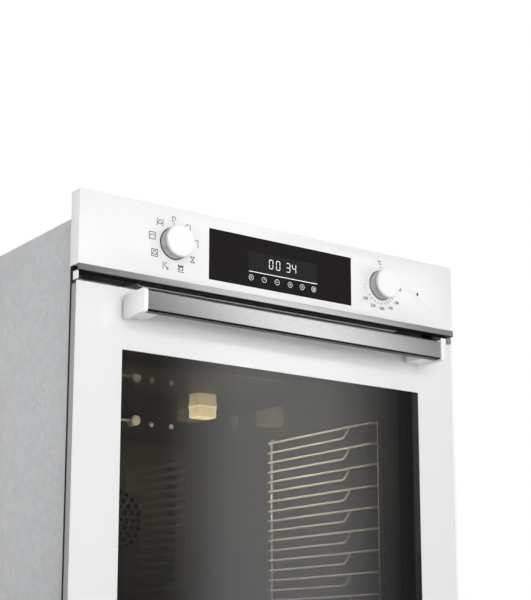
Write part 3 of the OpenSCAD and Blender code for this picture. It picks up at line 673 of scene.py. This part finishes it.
# Nodes whose edges are eased, and by how many mm
EASED_EDGES = (
    ("control_panel", 0.6), ("display_window", 0.12), ("indicator_lens", 0.3),
    ("handle_standoffs", 1.5), ("left_side_panel", 0.3), ("right_side_panel", 0.3),
    ("top_cover", 0.3), ("rear_cover", 0.3), ("front_frame", 0.3), ("base_plate", 0.3),
    ("door_left_profile", 0.4), ("door_right_profile", 0.4), ("door_top_trim", 0.4),
    ("door_bottom_trim", 0.4), ("door_gasket", 1.2), ("door_inner_glass", 0.6),
    ("terminal_block", 0.6), ("door_hinge_channels", 0.4), ("hinge_receivers", 0.4),
    ("blower_housing", 0.4), ("lamp_holder", 0.8), ("function_switch", 0.5),
)


def arc(y, z, radius, start, end, steps):
    """Points of an arc about (y, z), from start to end in degrees."""
    angles = [math.radians(start + (end - start) * i / steps) for i in range(steps + 1)]
    return [(y + radius * math.cos(a), z + radius * math.sin(a)) for a in angles]


def rounded(low_a, high_a, low_b, high_b, radius, steps=6):
    """Outline of a rectangle with round corners, in two coordinates."""
    corners = ((high_a - radius, high_b - radius, 0), (low_a + radius, high_b - radius, 90),
               (low_a + radius, low_b + radius, 180), (high_a - radius, low_b + radius, 270))
    return [p for a, b, turn in corners for p in arc(a, b, radius, turn, turn + 90, steps)]


def loft(bm, rings, closed_ends=True):
    """Skins rings of points, which all have the same number of points."""
    rows = [[bm.verts.new(place(*p)) for p in ring] for ring in rings]
    count = len(rows[0])
    for a, b in zip(rows, rows[1:]):
        for i in range(count):
            j = (i + 1) % count
            bm.faces.new((a[i], a[j], b[j], b[i]))
    if closed_ends:
        bm.faces.new(rows[0])
        bm.faces.new(rows[-1])
    return rows


def lathe(bm, profile, x, z, steps=96):
    """Turns a profile of (radius, y) points about a line along Y."""
    rows = []
    for radius, y in profile:
        if radius < 1e-6:
            rows.append([bm.verts.new(place(x, y, z))])
            continue
        turns = [2 * math.pi * i / steps for i in range(steps)]
        rows.append([bm.verts.new(place(x + radius * math.cos(t), y, z + radius * math.sin(t)))
                     for t in turns])
    for a, b in zip(rows, rows[1:]):
        for i in range(steps):
            j = (i + 1) % steps
            corners = (a[i % len(a)], a[j % len(a)], b[j % len(b)], b[i % len(b)])
            unique = list(dict.fromkeys(corners))
            if len(unique) > 2:
                bm.faces.new(unique)


def ribbon(bm, points, width, y, depth, flat=True):
    """A printed line: a thin bar along each stretch of a path of (x, z) points."""
    for (x0, z0), (x1, z1) in zip(points, points[1:]):
        along = Vector((x1 - x0, z1 - z0))
        if along.length < 1e-6:
            continue
        along = along.normalized() * width / 2
        side = Vector((-along.y, along.x))
        lap = along if flat else along * 0
        corners = [(x0 - lap.x + side.x, z0 - lap.y + side.y),
                   (x0 - lap.x - side.x, z0 - lap.y - side.y),
                   (x1 + lap.x - side.x, z1 + lap.y - side.y),
                   (x1 + lap.x + side.x, z1 + lap.y + side.y)]
        loft(bm, [[(x, y - depth, z) for x, z in corners], [(x, y, z) for x, z in corners]])


def circle(x, z, radius, start=0, end=360, steps=20):
    return arc(x, z, radius, start, end, steps)


# ---------- control panel ----------

PRINT_DEPTH = 0.06
LINE = 0.85  # width of a printed line
FINE_LINE = 0.3

# Cooking functions as small line drawings in a frame 10 wide and 10 high, round the left knob
SQUARE = [(-4.2, -4.4), (-4.2, 4.4), (4.2, 4.4), (4.2, -4.4), (-4.2, -4.4)]
ROOF = [(-4.2, 4.4), (4.2, 4.4)]
GROUND = [(-4.2, -4.4), (4.2, -4.4)]
WALLS = [[(-4.2, -4.4), (-4.2, 4.4)], [(4.2, -4.4), (4.2, 4.4)]]
FAN = [arc(1.5 * math.cos(t), 1.5 * math.sin(t), 1.4, math.degrees(t) - 90, math.degrees(t) + 90, 6)
       for t in (math.pi / 2, math.pi * 7 / 6, math.pi * 11 / 6)]
GRILL = [(-3.6, 3.6), (-2.4, 1.8), (-1.2, 3.6), (0, 1.8), (1.2, 3.6), (2.4, 1.8), (3.6, 3.6)]
SYMBOLS = [
    [[(-2.6, -3.4), (-2.6, 2.8), (1.8, 2.8)], circle(1.8, 0.2, 0.5), [(-0.4, -3.4), (-0.4, -2.6)]],
    [arc(-0.6, 0.6, 3.2, 60, 200, 10), [(-1.4, -1.2), (3.4, -3.6), (2.8, 3.4)]],
    [ROOF, [(4.2, 4.4), (4.2, -4.4)], circle(-2.4, 2.2, 0.9), circle(-2.4, -3, 0.9)],
    [[(-3, 3.6), (3, 3.6), (0, 0), (3, -3.6), (-3, -3.6), (0, 0), (-3, 3.6)]],
    FAN + [GRILL, GROUND, WALLS[0]],
    [arc(0.6, 1.4, 2.4, 80, 260, 10), [(-4.2, -4.4), (-4.2, 4.4)], circle(1.8, -3, 1.1)],
    FAN + [SQUARE],
    [SQUARE, arc(0, -1, 2.8, 20, 160, 8)],
    FAN + WALLS,
]
SYMBOL_RADIUS = 31.5
POINTER = (24.6, 26.2)  # short line above the left knob, from its middle
DIAL_NUMBERS = (("50", 91, 34.6), ("100", 126, 34.6), ("150", 150, 33.6), ("200", 177, 32.2),
                ("220", 205, 33.2), ("250", 231, 34.6))
DIAL_TICKS = (0, 102, 114, 126, 138, 150, 163, 177, 191, 205, 218, 231)
TICK_REACH = (24.3, 26.4)
DIAL_DOTS = ((55, 30.6), (70, 30.6), (242, 27.4), (254, 27.4), (266, 27.4))
DOT_R = 0.35
NUMBER_H = 3.9
UNIT_H = 5


def around(angle, radius):
    """A place on a dial, at an angle clockwise from the top."""
    turn = math.radians(angle)
    return radius * math.sin(turn), radius * math.cos(turn)


def function_marks():
    bm = bmesh.new()
    for i, symbol in enumerate(SYMBOLS):
        x, z = around(40 * i, SYMBOL_RADIUS)
        for path in symbol:
            shifted = [(KNOBS["function"] + x + a, KNOB_Z + z + b) for a, b in path]
            ribbon(bm, shifted, LINE, 0, PRINT_DEPTH)
    ribbon(bm, [(KNOBS["function"], KNOB_Z + reach) for reach in POINTER], 0.8, 0, PRINT_DEPTH)
    add_piece("function_marks", bm, "frame_enamel", "chassis", material=PRINT_GREY)


def thermostat_marks():
    bm = bmesh.new()
    for angle in DIAL_TICKS:
        path = [around(angle, reach) for reach in TICK_REACH]
        ribbon(bm, [(KNOBS["thermostat"] + x, KNOB_Z + z) for x, z in path], LINE, 0, PRINT_DEPTH)
    for angle, radius in DIAL_DOTS:
        x, z = around(angle, radius)
        dot = circle(KNOBS["thermostat"] + x, KNOB_Z + z, DOT_R, steps=8)
        ribbon(bm, dot, FINE_LINE, 0, PRINT_DEPTH)
    add_piece("thermostat_marks", bm, "frame_enamel", "chassis", material=PRINT_GREY)


def lettering(name, text, x, z, height, y, slot, material, spread=1.0, bold=0.0):
    """Flat figures standing on the panel."""
    curve = bpy.data.curves.new(name, "FONT")
    curve.body = text
    curve.size = height / 0.7
    curve.align_x = "CENTER"
    curve.align_y = "CENTER"
    curve.extrude = PRINT_DEPTH / 2
    curve.space_character = spread
    curve.offset = bold
    holder = add_object(name, curve)
    bpy.context.view_layer.update()
    mesh = bpy.data.meshes.new_from_object(holder)
    bpy.data.objects.remove(holder)
    bpy.data.curves.remove(curve)
    bm = bmesh.new()
    bm.from_mesh(mesh)
    bpy.data.meshes.remove(mesh)
    for v in bm.verts:
        v.co = place(x + v.co.x, y - PRINT_DEPTH / 2 - v.co.z, z + v.co.y)
    add_piece(name, bm, slot, "chassis", material=material)


def dial_numbers():
    for text, angle, radius in DIAL_NUMBERS:
        x, z = around(angle, radius)
        lettering(f"dial_{text}", text, KNOBS["thermostat"] + x, KNOB_Z + z, NUMBER_H, 0,
                  "frame_enamel", PRINT_GREY, bold=0.12)
    x, z = around(357, 32)
    lettering("dial_unit", "°C", KNOBS["thermostat"] + x, KNOB_Z + z, UNIT_H, 0,
              "frame_enamel", PRINT_GREY, bold=0.15)


# Seven strokes of a lit figure, in a box 1 wide and 2 high
STROKES = {"a": ((0, 2), (1, 2)), "b": ((1, 2), (1, 1)), "c": ((1, 1), (1, 0)),
           "d": ((0, 0), (1, 0)), "e": ((0, 0), (0, 1)), "f": ((0, 1), (0, 2)),
           "g": ((0, 1), (1, 1))}
FIGURES = {"0": "abcdef", "3": "abcdg", "4": "bcfg"}
FIGURE_H = 11.6
FIGURE_W = 5.6
FIGURE_X = (-21.4, -10.2, 6.0, 15.6)
CLOCK_Z = 547.5  # middle of the figures
FIGURE_LINE = 0.75
LINE_X = (-53, 56)
LINE_Z = 533.4
ICON_Z = 525.4
ICONS_X = (-49.9, -29.6, -9.0, 11.9, 31.4, 50.5)
ICON_RING = 3.5
SCREEN = (-54, 56, 534.4, 560)  # lighter field in the black glass: x and z


def display_figures():
    """The clock, the line under it and the six touch symbols."""
    front = DISPLAY_LOW.y
    foot = CLOCK_Z - FIGURE_H / 2
    bm = bmesh.new()
    for figure, left in zip("0034", FIGURE_X):
        for key in FIGURES[figure]:
            (a, b), (c, d) = STROKES[key]
            start = Vector((a * FIGURE_W, b * FIGURE_H / 2))
            end = Vector((c * FIGURE_W, d * FIGURE_H / 2))
            inset = (end - start).normalized() * 0.5
            path = [start + inset, end - inset]
            ribbon(bm, [(left + p.x, foot + p.y) for p in path], FIGURE_LINE, front,
                   PRINT_DEPTH, False)
    add_piece("clock_figures", bm, "white_print", "chassis", material=LIT_WHITE)
    bm = bmesh.new()
    ribbon(bm, [(x, LINE_Z) for x in LINE_X], 0.7, front, PRINT_DEPTH)
    for x in ICONS_X:
        ribbon(bm, circle(x, ICON_Z, ICON_RING, steps=24), 0.32, front, PRINT_DEPTH)
    marks = ([[(-1, 1), (1, 1), (0, -1.4), (-1, 1)]], [[(0, 2), (0, 0), (1.4, 0)]],
             [[(-1.8, 0), (1.8, 0)]], [[(-1.8, 0), (1.8, 0)], [(0, -1.8), (0, 1.8)]],
             [[(-1.2, -1.4), (1.4, 0), (-1.2, 1.4)]],
             [[(-1.2, -1.6), (1.2, -1.6), (1.2, 0.4), (-1.2, 0.4), (-1.2, -1.6)],
              arc(0, 0.4, 0.9, 0, 180, 6)])
    for x, symbol in zip(ICONS_X, marks):
        for path in symbol:
            ribbon(bm, [(x + a, ICON_Z + b) for a, b in path], FINE_LINE, front, PRINT_DEPTH)
    add_piece("touch_symbols", bm, "white_print", "chassis", material=LIT_WHITE)


def display_screen():
    """The display's lighter field, laid in the black glass."""
    bm = bmesh.new()
    outline = rounded(*SCREEN, 0.8)
    loft(bm, [[(x, DISPLAY_LOW.y + d, z) for x, z in outline] for d in (-0.02, 0.1)])
    add_piece("display_screen", bm, "black_glass", "chassis", material=SCREEN_GREY)


# ---------- knobs ----------

def knob(name, x):
    front, rear = CAP_LOW.y, CAP_HIGH.y
    r = KNOB_R
    bm = bmesh.new()
    groove = r - 1.2
    profile = [(0, front), (groove - 0.35, front), (groove - 0.15, front + 0.25),
               (groove + 0.15, front + 0.25), (groove + 0.3, front + 0.04)]
    profile += [(r - 1 + a, front + 1 + b) for a, b in arc(0, 0, 1, -90, 0, 6)]
    profile += [(r, rear - 0.25), (r - 0.25, rear), (0, rear)]
    lathe(bm, profile, x, KNOB_Z)
    add_piece(f"{name}_cap_shape", bm, "white_plastic", f"{name}_knob_body",
              (f"{name}_knob_cap",))
    bm = bmesh.new()
    low, high = span(f"{name}_knob")
    lathe(bm, [(0, low.y), (r - 0.7, low.y), (r - 0.45, low.y + 0.35), (r - 0.15, low.y + 0.6),
               (r, low.y + 1.1), (r, 1.9), (r - 0.6, 2.5), (6, 2.5), (5.6, high.y), (3.2, high.y),
               (3.2, 3), (0, 3)], x, KNOB_Z)
    add_piece(f"{name}_knob_shape", bm, "knob_metal", f"{name}_knob_body", (f"{name}_knob",))


def bezels():
    low, high = span("knob_bezels")
    outer = high.x - KNOB_X
    bm = bmesh.new()
    for x in KNOBS.values():
        lathe(bm, [(KNOB_R + 0.6, high.y), (KNOB_R + 0.6, 0.4), (KNOB_R + 0.9, low.y),
                   (outer - 0.9, low.y), (outer - 0.25, low.y + 0.2), (outer, 0), (outer - 0.6, 0),
                   (outer - 0.6, high.y), (KNOB_R + 0.6, high.y)], x, KNOB_Z)
    add_piece("bezel_rings", bm, "white_plastic", "chassis", ("knob_bezels",))


# ---------- handle ----------

def handle_bar():
    """Drawn bar: a crisp upper edge, a softer lower one, and eased ends."""
    bm = bmesh.new()
    ease = 0.5
    full = rounded(BAR_LOW.y, BAR_HIGH.y, BAR_LOW.z, BAR_HIGH.z, 2.5, 8)
    less = rounded(BAR_LOW.y + ease, BAR_HIGH.y - ease, BAR_LOW.z + ease, BAR_HIGH.z - ease,
                   2.1, 8)
    rings = [[(x, y, z) for y, z in outline]
             for x, outline in ((BAR_LOW.x, less), (BAR_LOW.x + ease, full),
                                (BAR_HIGH.x - ease, full), (BAR_HIGH.x, less))]
    loft(bm, rings)
    add_piece("handle_bar_shape", bm, "handle_steel", "door", ("handle_bar",))


# ---------- door ----------

WINDOW = (-233.5, 233.5, 92, 408.7)  # clear field in the print: x and z
PRINT_GAP = 0.05  # kept clear between the glass and the print


def door_print():
    """White print behind the glass: a frame round the clear window."""
    low, high = span("door_enamel_print")
    near, far = low.y + PRINT_GAP, high.y
    outer = rounded(low.x, high.x, low.z, high.z, 1)
    inner = rounded(*WINDOW, 1.2)
    rings = [[(x, y, z) for x, z in outline]
             for outline, y in ((outer, near), (inner, near), (inner, far), (outer, far),
                                (outer, near))]
    bm = bmesh.new()
    loft(bm, rings, closed_ends=False)
    bmesh.ops.remove_doubles(bm, verts=bm.verts, dist=0.001 * MM)
    add_piece("door_print_frame", bm, "white_print", "door", ("door_enamel_print",))


# ---------- air gap ----------

STRIP_LIP_Y = 14  # how far back the strip's lower edge is turned in
STRIP_WALL = 1.2
PLUG_Y = (1.5, 12)
PLUG_W = 1.5


def trim_strip():
    """Brushed strip with a turned-in lower edge, and the plugs that close the gap's ends."""
    front, rear = STRIP_LOW.y, 0.8
    low, high = STRIP_EDGE_Z, PANEL_LOW.z
    outline = ([(rear, high), (front + 0.3, high)] + arc(front + 0.5, high - 0.5, 0.5, 100, 180, 4)
               + arc(front + 0.9, low + 0.9, 0.9, 180, 270, 6)
               + [(STRIP_LIP_Y, low), (STRIP_LIP_Y, low + STRIP_WALL), (rear, low + STRIP_WALL)])
    bm = bmesh.new()
    loft(bm, [[(x, y, z) for y, z in outline] for x in (STRIP_LOW.x, STRIP_HIGH.x)])
    add_piece("trim_strip_shape", bm, "trim_steel", "chassis", ("panel_trim_strip",))
    bm = bmesh.new()
    for side in (-1, 1):
        plug = rounded(*PLUG_Y, STRIP_LOW.z, low, 0.8, 3)
        loft(bm, [[(side * x, y, z) for y, z in plug]
                  for x in (STRIP_HIGH.x - PLUG_W, STRIP_HIGH.x)])
    add_piece("gap_end_plugs", bm, "white_plastic", "chassis")


# ---------- cavity ----------

RACK_WINDOW = (72, 345, 96, 386)  # pressed-out field behind a rack: y and z
RACK_WINDOW_R = 22
RACK_WINDOW_STEP = 1.7  # half of it stands in, half is pressed out
BACK_FIELD = (-188, 188, 100, 374)  # pressed field in the back wall: x and z
BACK_FIELD_R = 24
BACK_FIELD_STEP = 0.96
BEAD = (198, 268)  # stiffening bead across the ceiling and the floor: y
BEAD_IN = 2.2
BEAD_HALF = 196  # half length of the bead
REAR_R = 30  # radius between the walls and the back
EDGE_R = 12  # radius of the other corners
LINER_WALL = 1.2


def ticks(low, high, step, lines=()):
    """Places from low to high about step apart, with close ones at each pressed line."""
    count = max(1, round((high - low) / step))
    places = [low + (high - low) * i / count for i in range(count + 1)]
    places += [line + d for line in lines for d in (-2.4, -1.6, -0.8, 0, 0.8, 1.6, 2.4)
               if low < line + d < high]
    kept = []
    for p in sorted(places):
        if not kept or p - kept[-1] > 0.3:
            kept.append(p)
    return kept


def step_up(value, edge, half=1.5):
    t = min(max((value - edge + half) / (2 * half), 0), 1)
    return t * t * (3 - 2 * t)


def inside(a, b, low_a, high_a, low_b, high_b, radius):
    """1 inside a rectangle with round corners, 0 outside, with a soft edge."""
    da = abs(a - (low_a + high_a) / 2) - (high_a - low_a) / 2 + radius
    db = abs(b - (low_b + high_b) / 2) - (high_b - low_b) / 2 + radius
    distance = math.hypot(max(da, 0), max(db, 0)) + min(max(da, db), 0) - radius
    return 1 - step_up(distance, 0)


def wall_relief(x, y, z, nx, nz):
    """How far the wall stands into the cavity at a place, where (nx, nz) points outwards."""
    side = RACK_WINDOW_STEP * (0.5 - inside(y, z, *RACK_WINDOW, RACK_WINDOW_R)) * abs(nx)
    side *= step_up(y, 55, 8) * (1 - step_up(y, 408, 8))
    bead = BEAD_IN * step_up(y, BEAD[0]) * (1 - step_up(y, BEAD[1]))
    across = 1 - step_up(abs(x), BEAD_HALF, 8)
    return side + bead * across * abs(nz) ** 4


def cavity_outline(half, low, high):
    """Points round the cavity with their outward directions, and close ones at pressed lines."""
    points = []
    corners = ((half - EDGE_R, high - EDGE_R, 0), (-half + EDGE_R, high - EDGE_R, 90),
               (-half + EDGE_R, low + EDGE_R, 180), (half - EDGE_R, low + EDGE_R, 270))
    xs = ticks(-half + EDGE_R, half - EDGE_R, 11, (-200, -192, 192, 200))
    zs = ticks(low + EDGE_R, high - EDGE_R, 11, RACK_WINDOW[2:])
    runs = ([(x, high, 0, 1) for x in reversed(xs)], [(-half, z, -1, 0) for z in reversed(zs)],
            [(x, low, 0, -1) for x in xs], [(half, z, 1, 0) for z in zs])
    for (x, z, turn), run in zip(corners, runs):
        for i in range(1, 8):
            a = math.radians(turn + 90 * i / 8)
            points.append((x + EDGE_R * math.cos(a), z + EDGE_R * math.sin(a), math.cos(a),
                           math.sin(a)))
        points += run
    return points


def cavity_skin():
    """Pressed and enamelled liner: walls with rack fields and beads, round corners, back wall."""
    low = LINER_LOW + Vector((LINER_WALL, 0, LINER_WALL))
    high = LINER_HIGH - Vector((LINER_WALL, LINER_WALL, LINER_WALL))
    outline = cavity_outline(high.x, low.z, high.z)
    bend_y = high.y - REAR_R
    depths = [(y, high.x) for y in ticks(low.y, bend_y, 9, (*RACK_WINDOW[:2], *BEAD))]
    depths += [(bend_y + b, high.x - REAR_R + a) for a, b in arc(0, 0, REAR_R, 0, 90, 8)[1:]]
    rings = []
    for y, half in depths:
        ring = []
        for x, z, nx, nz in outline:
            stand = wall_relief(x, y, z, nx, nz)
            ring.append(((x - nx * stand) * half / high.x, y, z - nz * stand))
        rings.append(ring)
    bm = bmesh.new()
    loft(bm, rings, closed_ends=False)
    half = high.x - REAR_R
    xs = ticks(-half, half, 12, BACK_FIELD[:2])
    zs = ticks(low.z, high.z, 12, BACK_FIELD[2:])
    rows = []
    for z in zs:
        steps = [BACK_FIELD_STEP * inside(x, z, *BACK_FIELD, BACK_FIELD_R) for x in xs]
        rows.append([bm.verts.new(place(x, high.y + step, z)) for x, step in zip(xs, steps)])
    for a, b in zip(rows, rows[1:]):
        for i in range(len(xs) - 1):
            bm.faces.new((a[i], a[i + 1], b[i + 1], b[i]))
    add_piece("cavity_skin", bm, "cavity_enamel", "chassis", ("cavity_liner",))


def bent(path, radius, steps=5):
    """A path of straight stretches with its corners rounded."""
    points = [Vector(p) for p in path]
    out = [points[0]]
    for before, corner, after in zip(points, points[1:], points[2:]):
        a, b = (before - corner), (after - corner)
        cut = min(radius, a.length * 0.45, b.length * 0.45)
        start, end = corner + a.normalized() * cut, corner + b.normalized() * cut
        for i in range(steps + 1):
            t = i / steps
            out.append(start * (1 - t) ** 2 + corner * 2 * t * (1 - t) + end * t ** 2)
    return out + [points[-1]]


def wire(bm, path, radius, bend=4, sides=12):
    """Round wire along a path, in mm."""
    points = bent(path, bend)
    up = Vector((0.31, 0.17, 0.93))
    rings = []
    for i, p in enumerate(points):
        along = (points[min(i + 1, len(points) - 1)] - points[max(i - 1, 0)]).normalized()
        side = along.cross(up).normalized()
        rise = side.cross(along)
        rings.append([p + (side * math.cos(t) + rise * math.sin(t)) * radius
                      for t in (2 * math.pi * k / sides for k in range(sides))])
    loft(bm, rings)


RACK_WIRE_R = 1.75
RACK_POST_R = 2
RACK_PITCH = 30
RACK_LEVELS = 9
LOWER_WIRE = 15  # lower wire of a level, below the upper one
LOWER_WIRE_START = (57, 69)  # where it bends down, behind the front post


def rack(name, side):
    """Shelf rack: upper and lower wires on two posts, as bent and welded."""
    post = RACK_HIGH.x - 4
    rail = RACK_LOW.x + RACK_WIRE_R
    front, rear = RACK_LOW.y + RACK_POST_R, RACK_HIGH.y - RACK_POST_R
    foot = RACK_LOW.z + RACK_POST_R
    top = foot + RACK_PITCH * RACK_LEVELS
    bend, flat = [front + reach for reach in LOWER_WIRE_START]
    bm = bmesh.new()
    for level in range(RACK_LEVELS):
        z = top - RACK_PITCH * level
        low = z - LOWER_WIRE
        paths = ([(post, front, z), (rail, front + 10, z), (rail, rear, z), (post, rear, z)],
                 [(post, rear, low), (rail, rear, low), (rail, flat, low), (rail, bend, z - 5),
                  (rail, bend, z)])
        for path in paths:
            wire(bm, [(side * x, y, height) for x, y, height in path], RACK_WIRE_R)
    for y, reach in ((front, -0.5), (rear, 6)):
        wire(bm, [(side * RACK_HIGH.x, y, foot + 1), (side * post, y, foot + 1),
                  (side * post, y, top + reach), (side * RACK_HIGH.x, y, top + reach)],
             RACK_POST_R)
    add_piece(f"{name}_wires", bm, "chrome_wire", "chassis", (name,))


PROBE_TIP_Y = 434
PROBE_ROD_Y = 441
PROBE_TAIL_Y = 489
PROBE_BOSS_R = 8
PROBE_STEM_R = 2.5


def probe():
    """Thermostat bulb: a polished boss on the back wall and a rod to the left."""
    r, stem = PROBE_BOSS_R, PROBE_STEM_R
    x, z = PROBE_HIGH.x - r, (PROBE_LOW.z + PROBE_HIGH.z) / 2
    tip, rod, seat = PROBE_TIP_Y, PROBE_ROD_Y, LINER_HIGH.y - 1.4
    bm = bmesh.new()
    lathe(bm, [(0, tip), (4.6, tip)] + arc(r - 1.2, tip + 1.2, 1.2, -90, 0, 5)
          + [(r, rod - 1), (r - 0.8, rod), (r, rod + 1), (r, seat), (stem, seat),
             (stem, PROBE_TAIL_Y), (0, PROBE_TAIL_Y)], x, z, 48)
    wire(bm, [(x - 6, rod, z), (PROBE_LOW.x + 2, rod, z)], 2)
    lathe(bm, [(0, rod - 0.1), (0.6, rod - 0.05), (0.6, rod + 0.05), (0, rod + 0.1)],
          PROBE_LOW.x + 1.6, z, 12)
    add_piece("probe_shape", bm, "chrome_wire", "chassis", ("temperature_probe",))


def lamp_cover_shape():
    """Lamp glass: a box with well-rounded corners, a raised foot rim and a thick lower edge."""
    rings = []
    lower = LAMP_LOW.z
    for z, grow in ((LAMP_HIGH.z, 0), (LAMP_HIGH.z - 2.5, 0), (LAMP_HIGH.z - 3.2, -1),
                    (lower + 5, -1.6), (lower + 4.2, -1), (lower + 1.4, -1), (lower + 0.5, -1.5),
                    (lower, -2.8), (lower, -6), (lower + 0.8, -6.6)):
        outline = rounded(LAMP_LOW.x - grow, LAMP_HIGH.x + grow, LAMP_LOW.y - grow,
                          LAMP_HIGH.y + grow, 9 + grow, 8)
        rings.append([(x, y, z) for x, y in outline])
    bm = bmesh.new()
    loft(bm, rings)
    add_piece("lamp_glass_shape", bm, "lamp_cover", "chassis", ("lamp_glass",))


BACK_SCREWS_X = (79, 115)
BACK_SCREWS_Z = 410


def back_wall_screws():
    bm = bmesh.new()
    face = LINER_HIGH.y - LINER_WALL
    for x in BACK_SCREWS_X:
        lathe(bm, [(0, face - 2.2), (0.9, face - 2.2), (0.9, face - 1.4), (1.6, face - 2.1),
                   (2.8, face - 1.7), (3.8, face - 0.8), (4.1, face), (0, face)], x, BACK_SCREWS_Z,
              32)
    add_piece("back_wall_screws", bm, "chrome_wire", "chassis")


PRINT_GREY = printed("grey_print", (0.02, 0.02, 0.022))
SCREEN_GREY = printed("screen_field", (0.017, 0.017, 0.0165))
LIT_WHITE = lit_figures()

dress_nodes()
for node, radius in EASED_EDGES:
    refined(node, radius)
function_marks()
thermostat_marks()
dial_numbers()
display_screen()
display_figures()
for name, x in KNOBS.items():
    knob(name, x)
bezels()
door_print()
handle_bar()
trim_strip()
cavity_skin()
for name, side in (("left_side_rack", -1), ("right_side_rack", 1)):
    rack(name, side)
probe()
lamp_cover_shape()
back_wall_screws()

make_camera()
make_world(shown=1.0, lighting=0.24, mirrored=0.24, mirrored_low=0.03)
make_floor()
glow_wall()
key = soft_light("key", (-0.5, -3.4, 0.5), (0, FRONT, 0.35), 2.6, 2.2, 101)
top = soft_light("top", (0.2, 0.75, 2.2), (0, 0.1, 0.3), 1.8, 1.8, 24)
side = soft_light("side", (-3.0, 0.9, 1.2), (0, 0, 0.3), 2.0, 2.0, 40)
lamp = lamp_light("oven_lamp", place(70, 250, 330), 2.3, 0.05, (1.0, 0.84, 0.6))
for light in (key, top, side, lamp):
    light.visible_glossy = False

bpy.context.scene.view_settings.view_transform = "Standard"


def plain(box):
    return [list(corner) for corner in box]
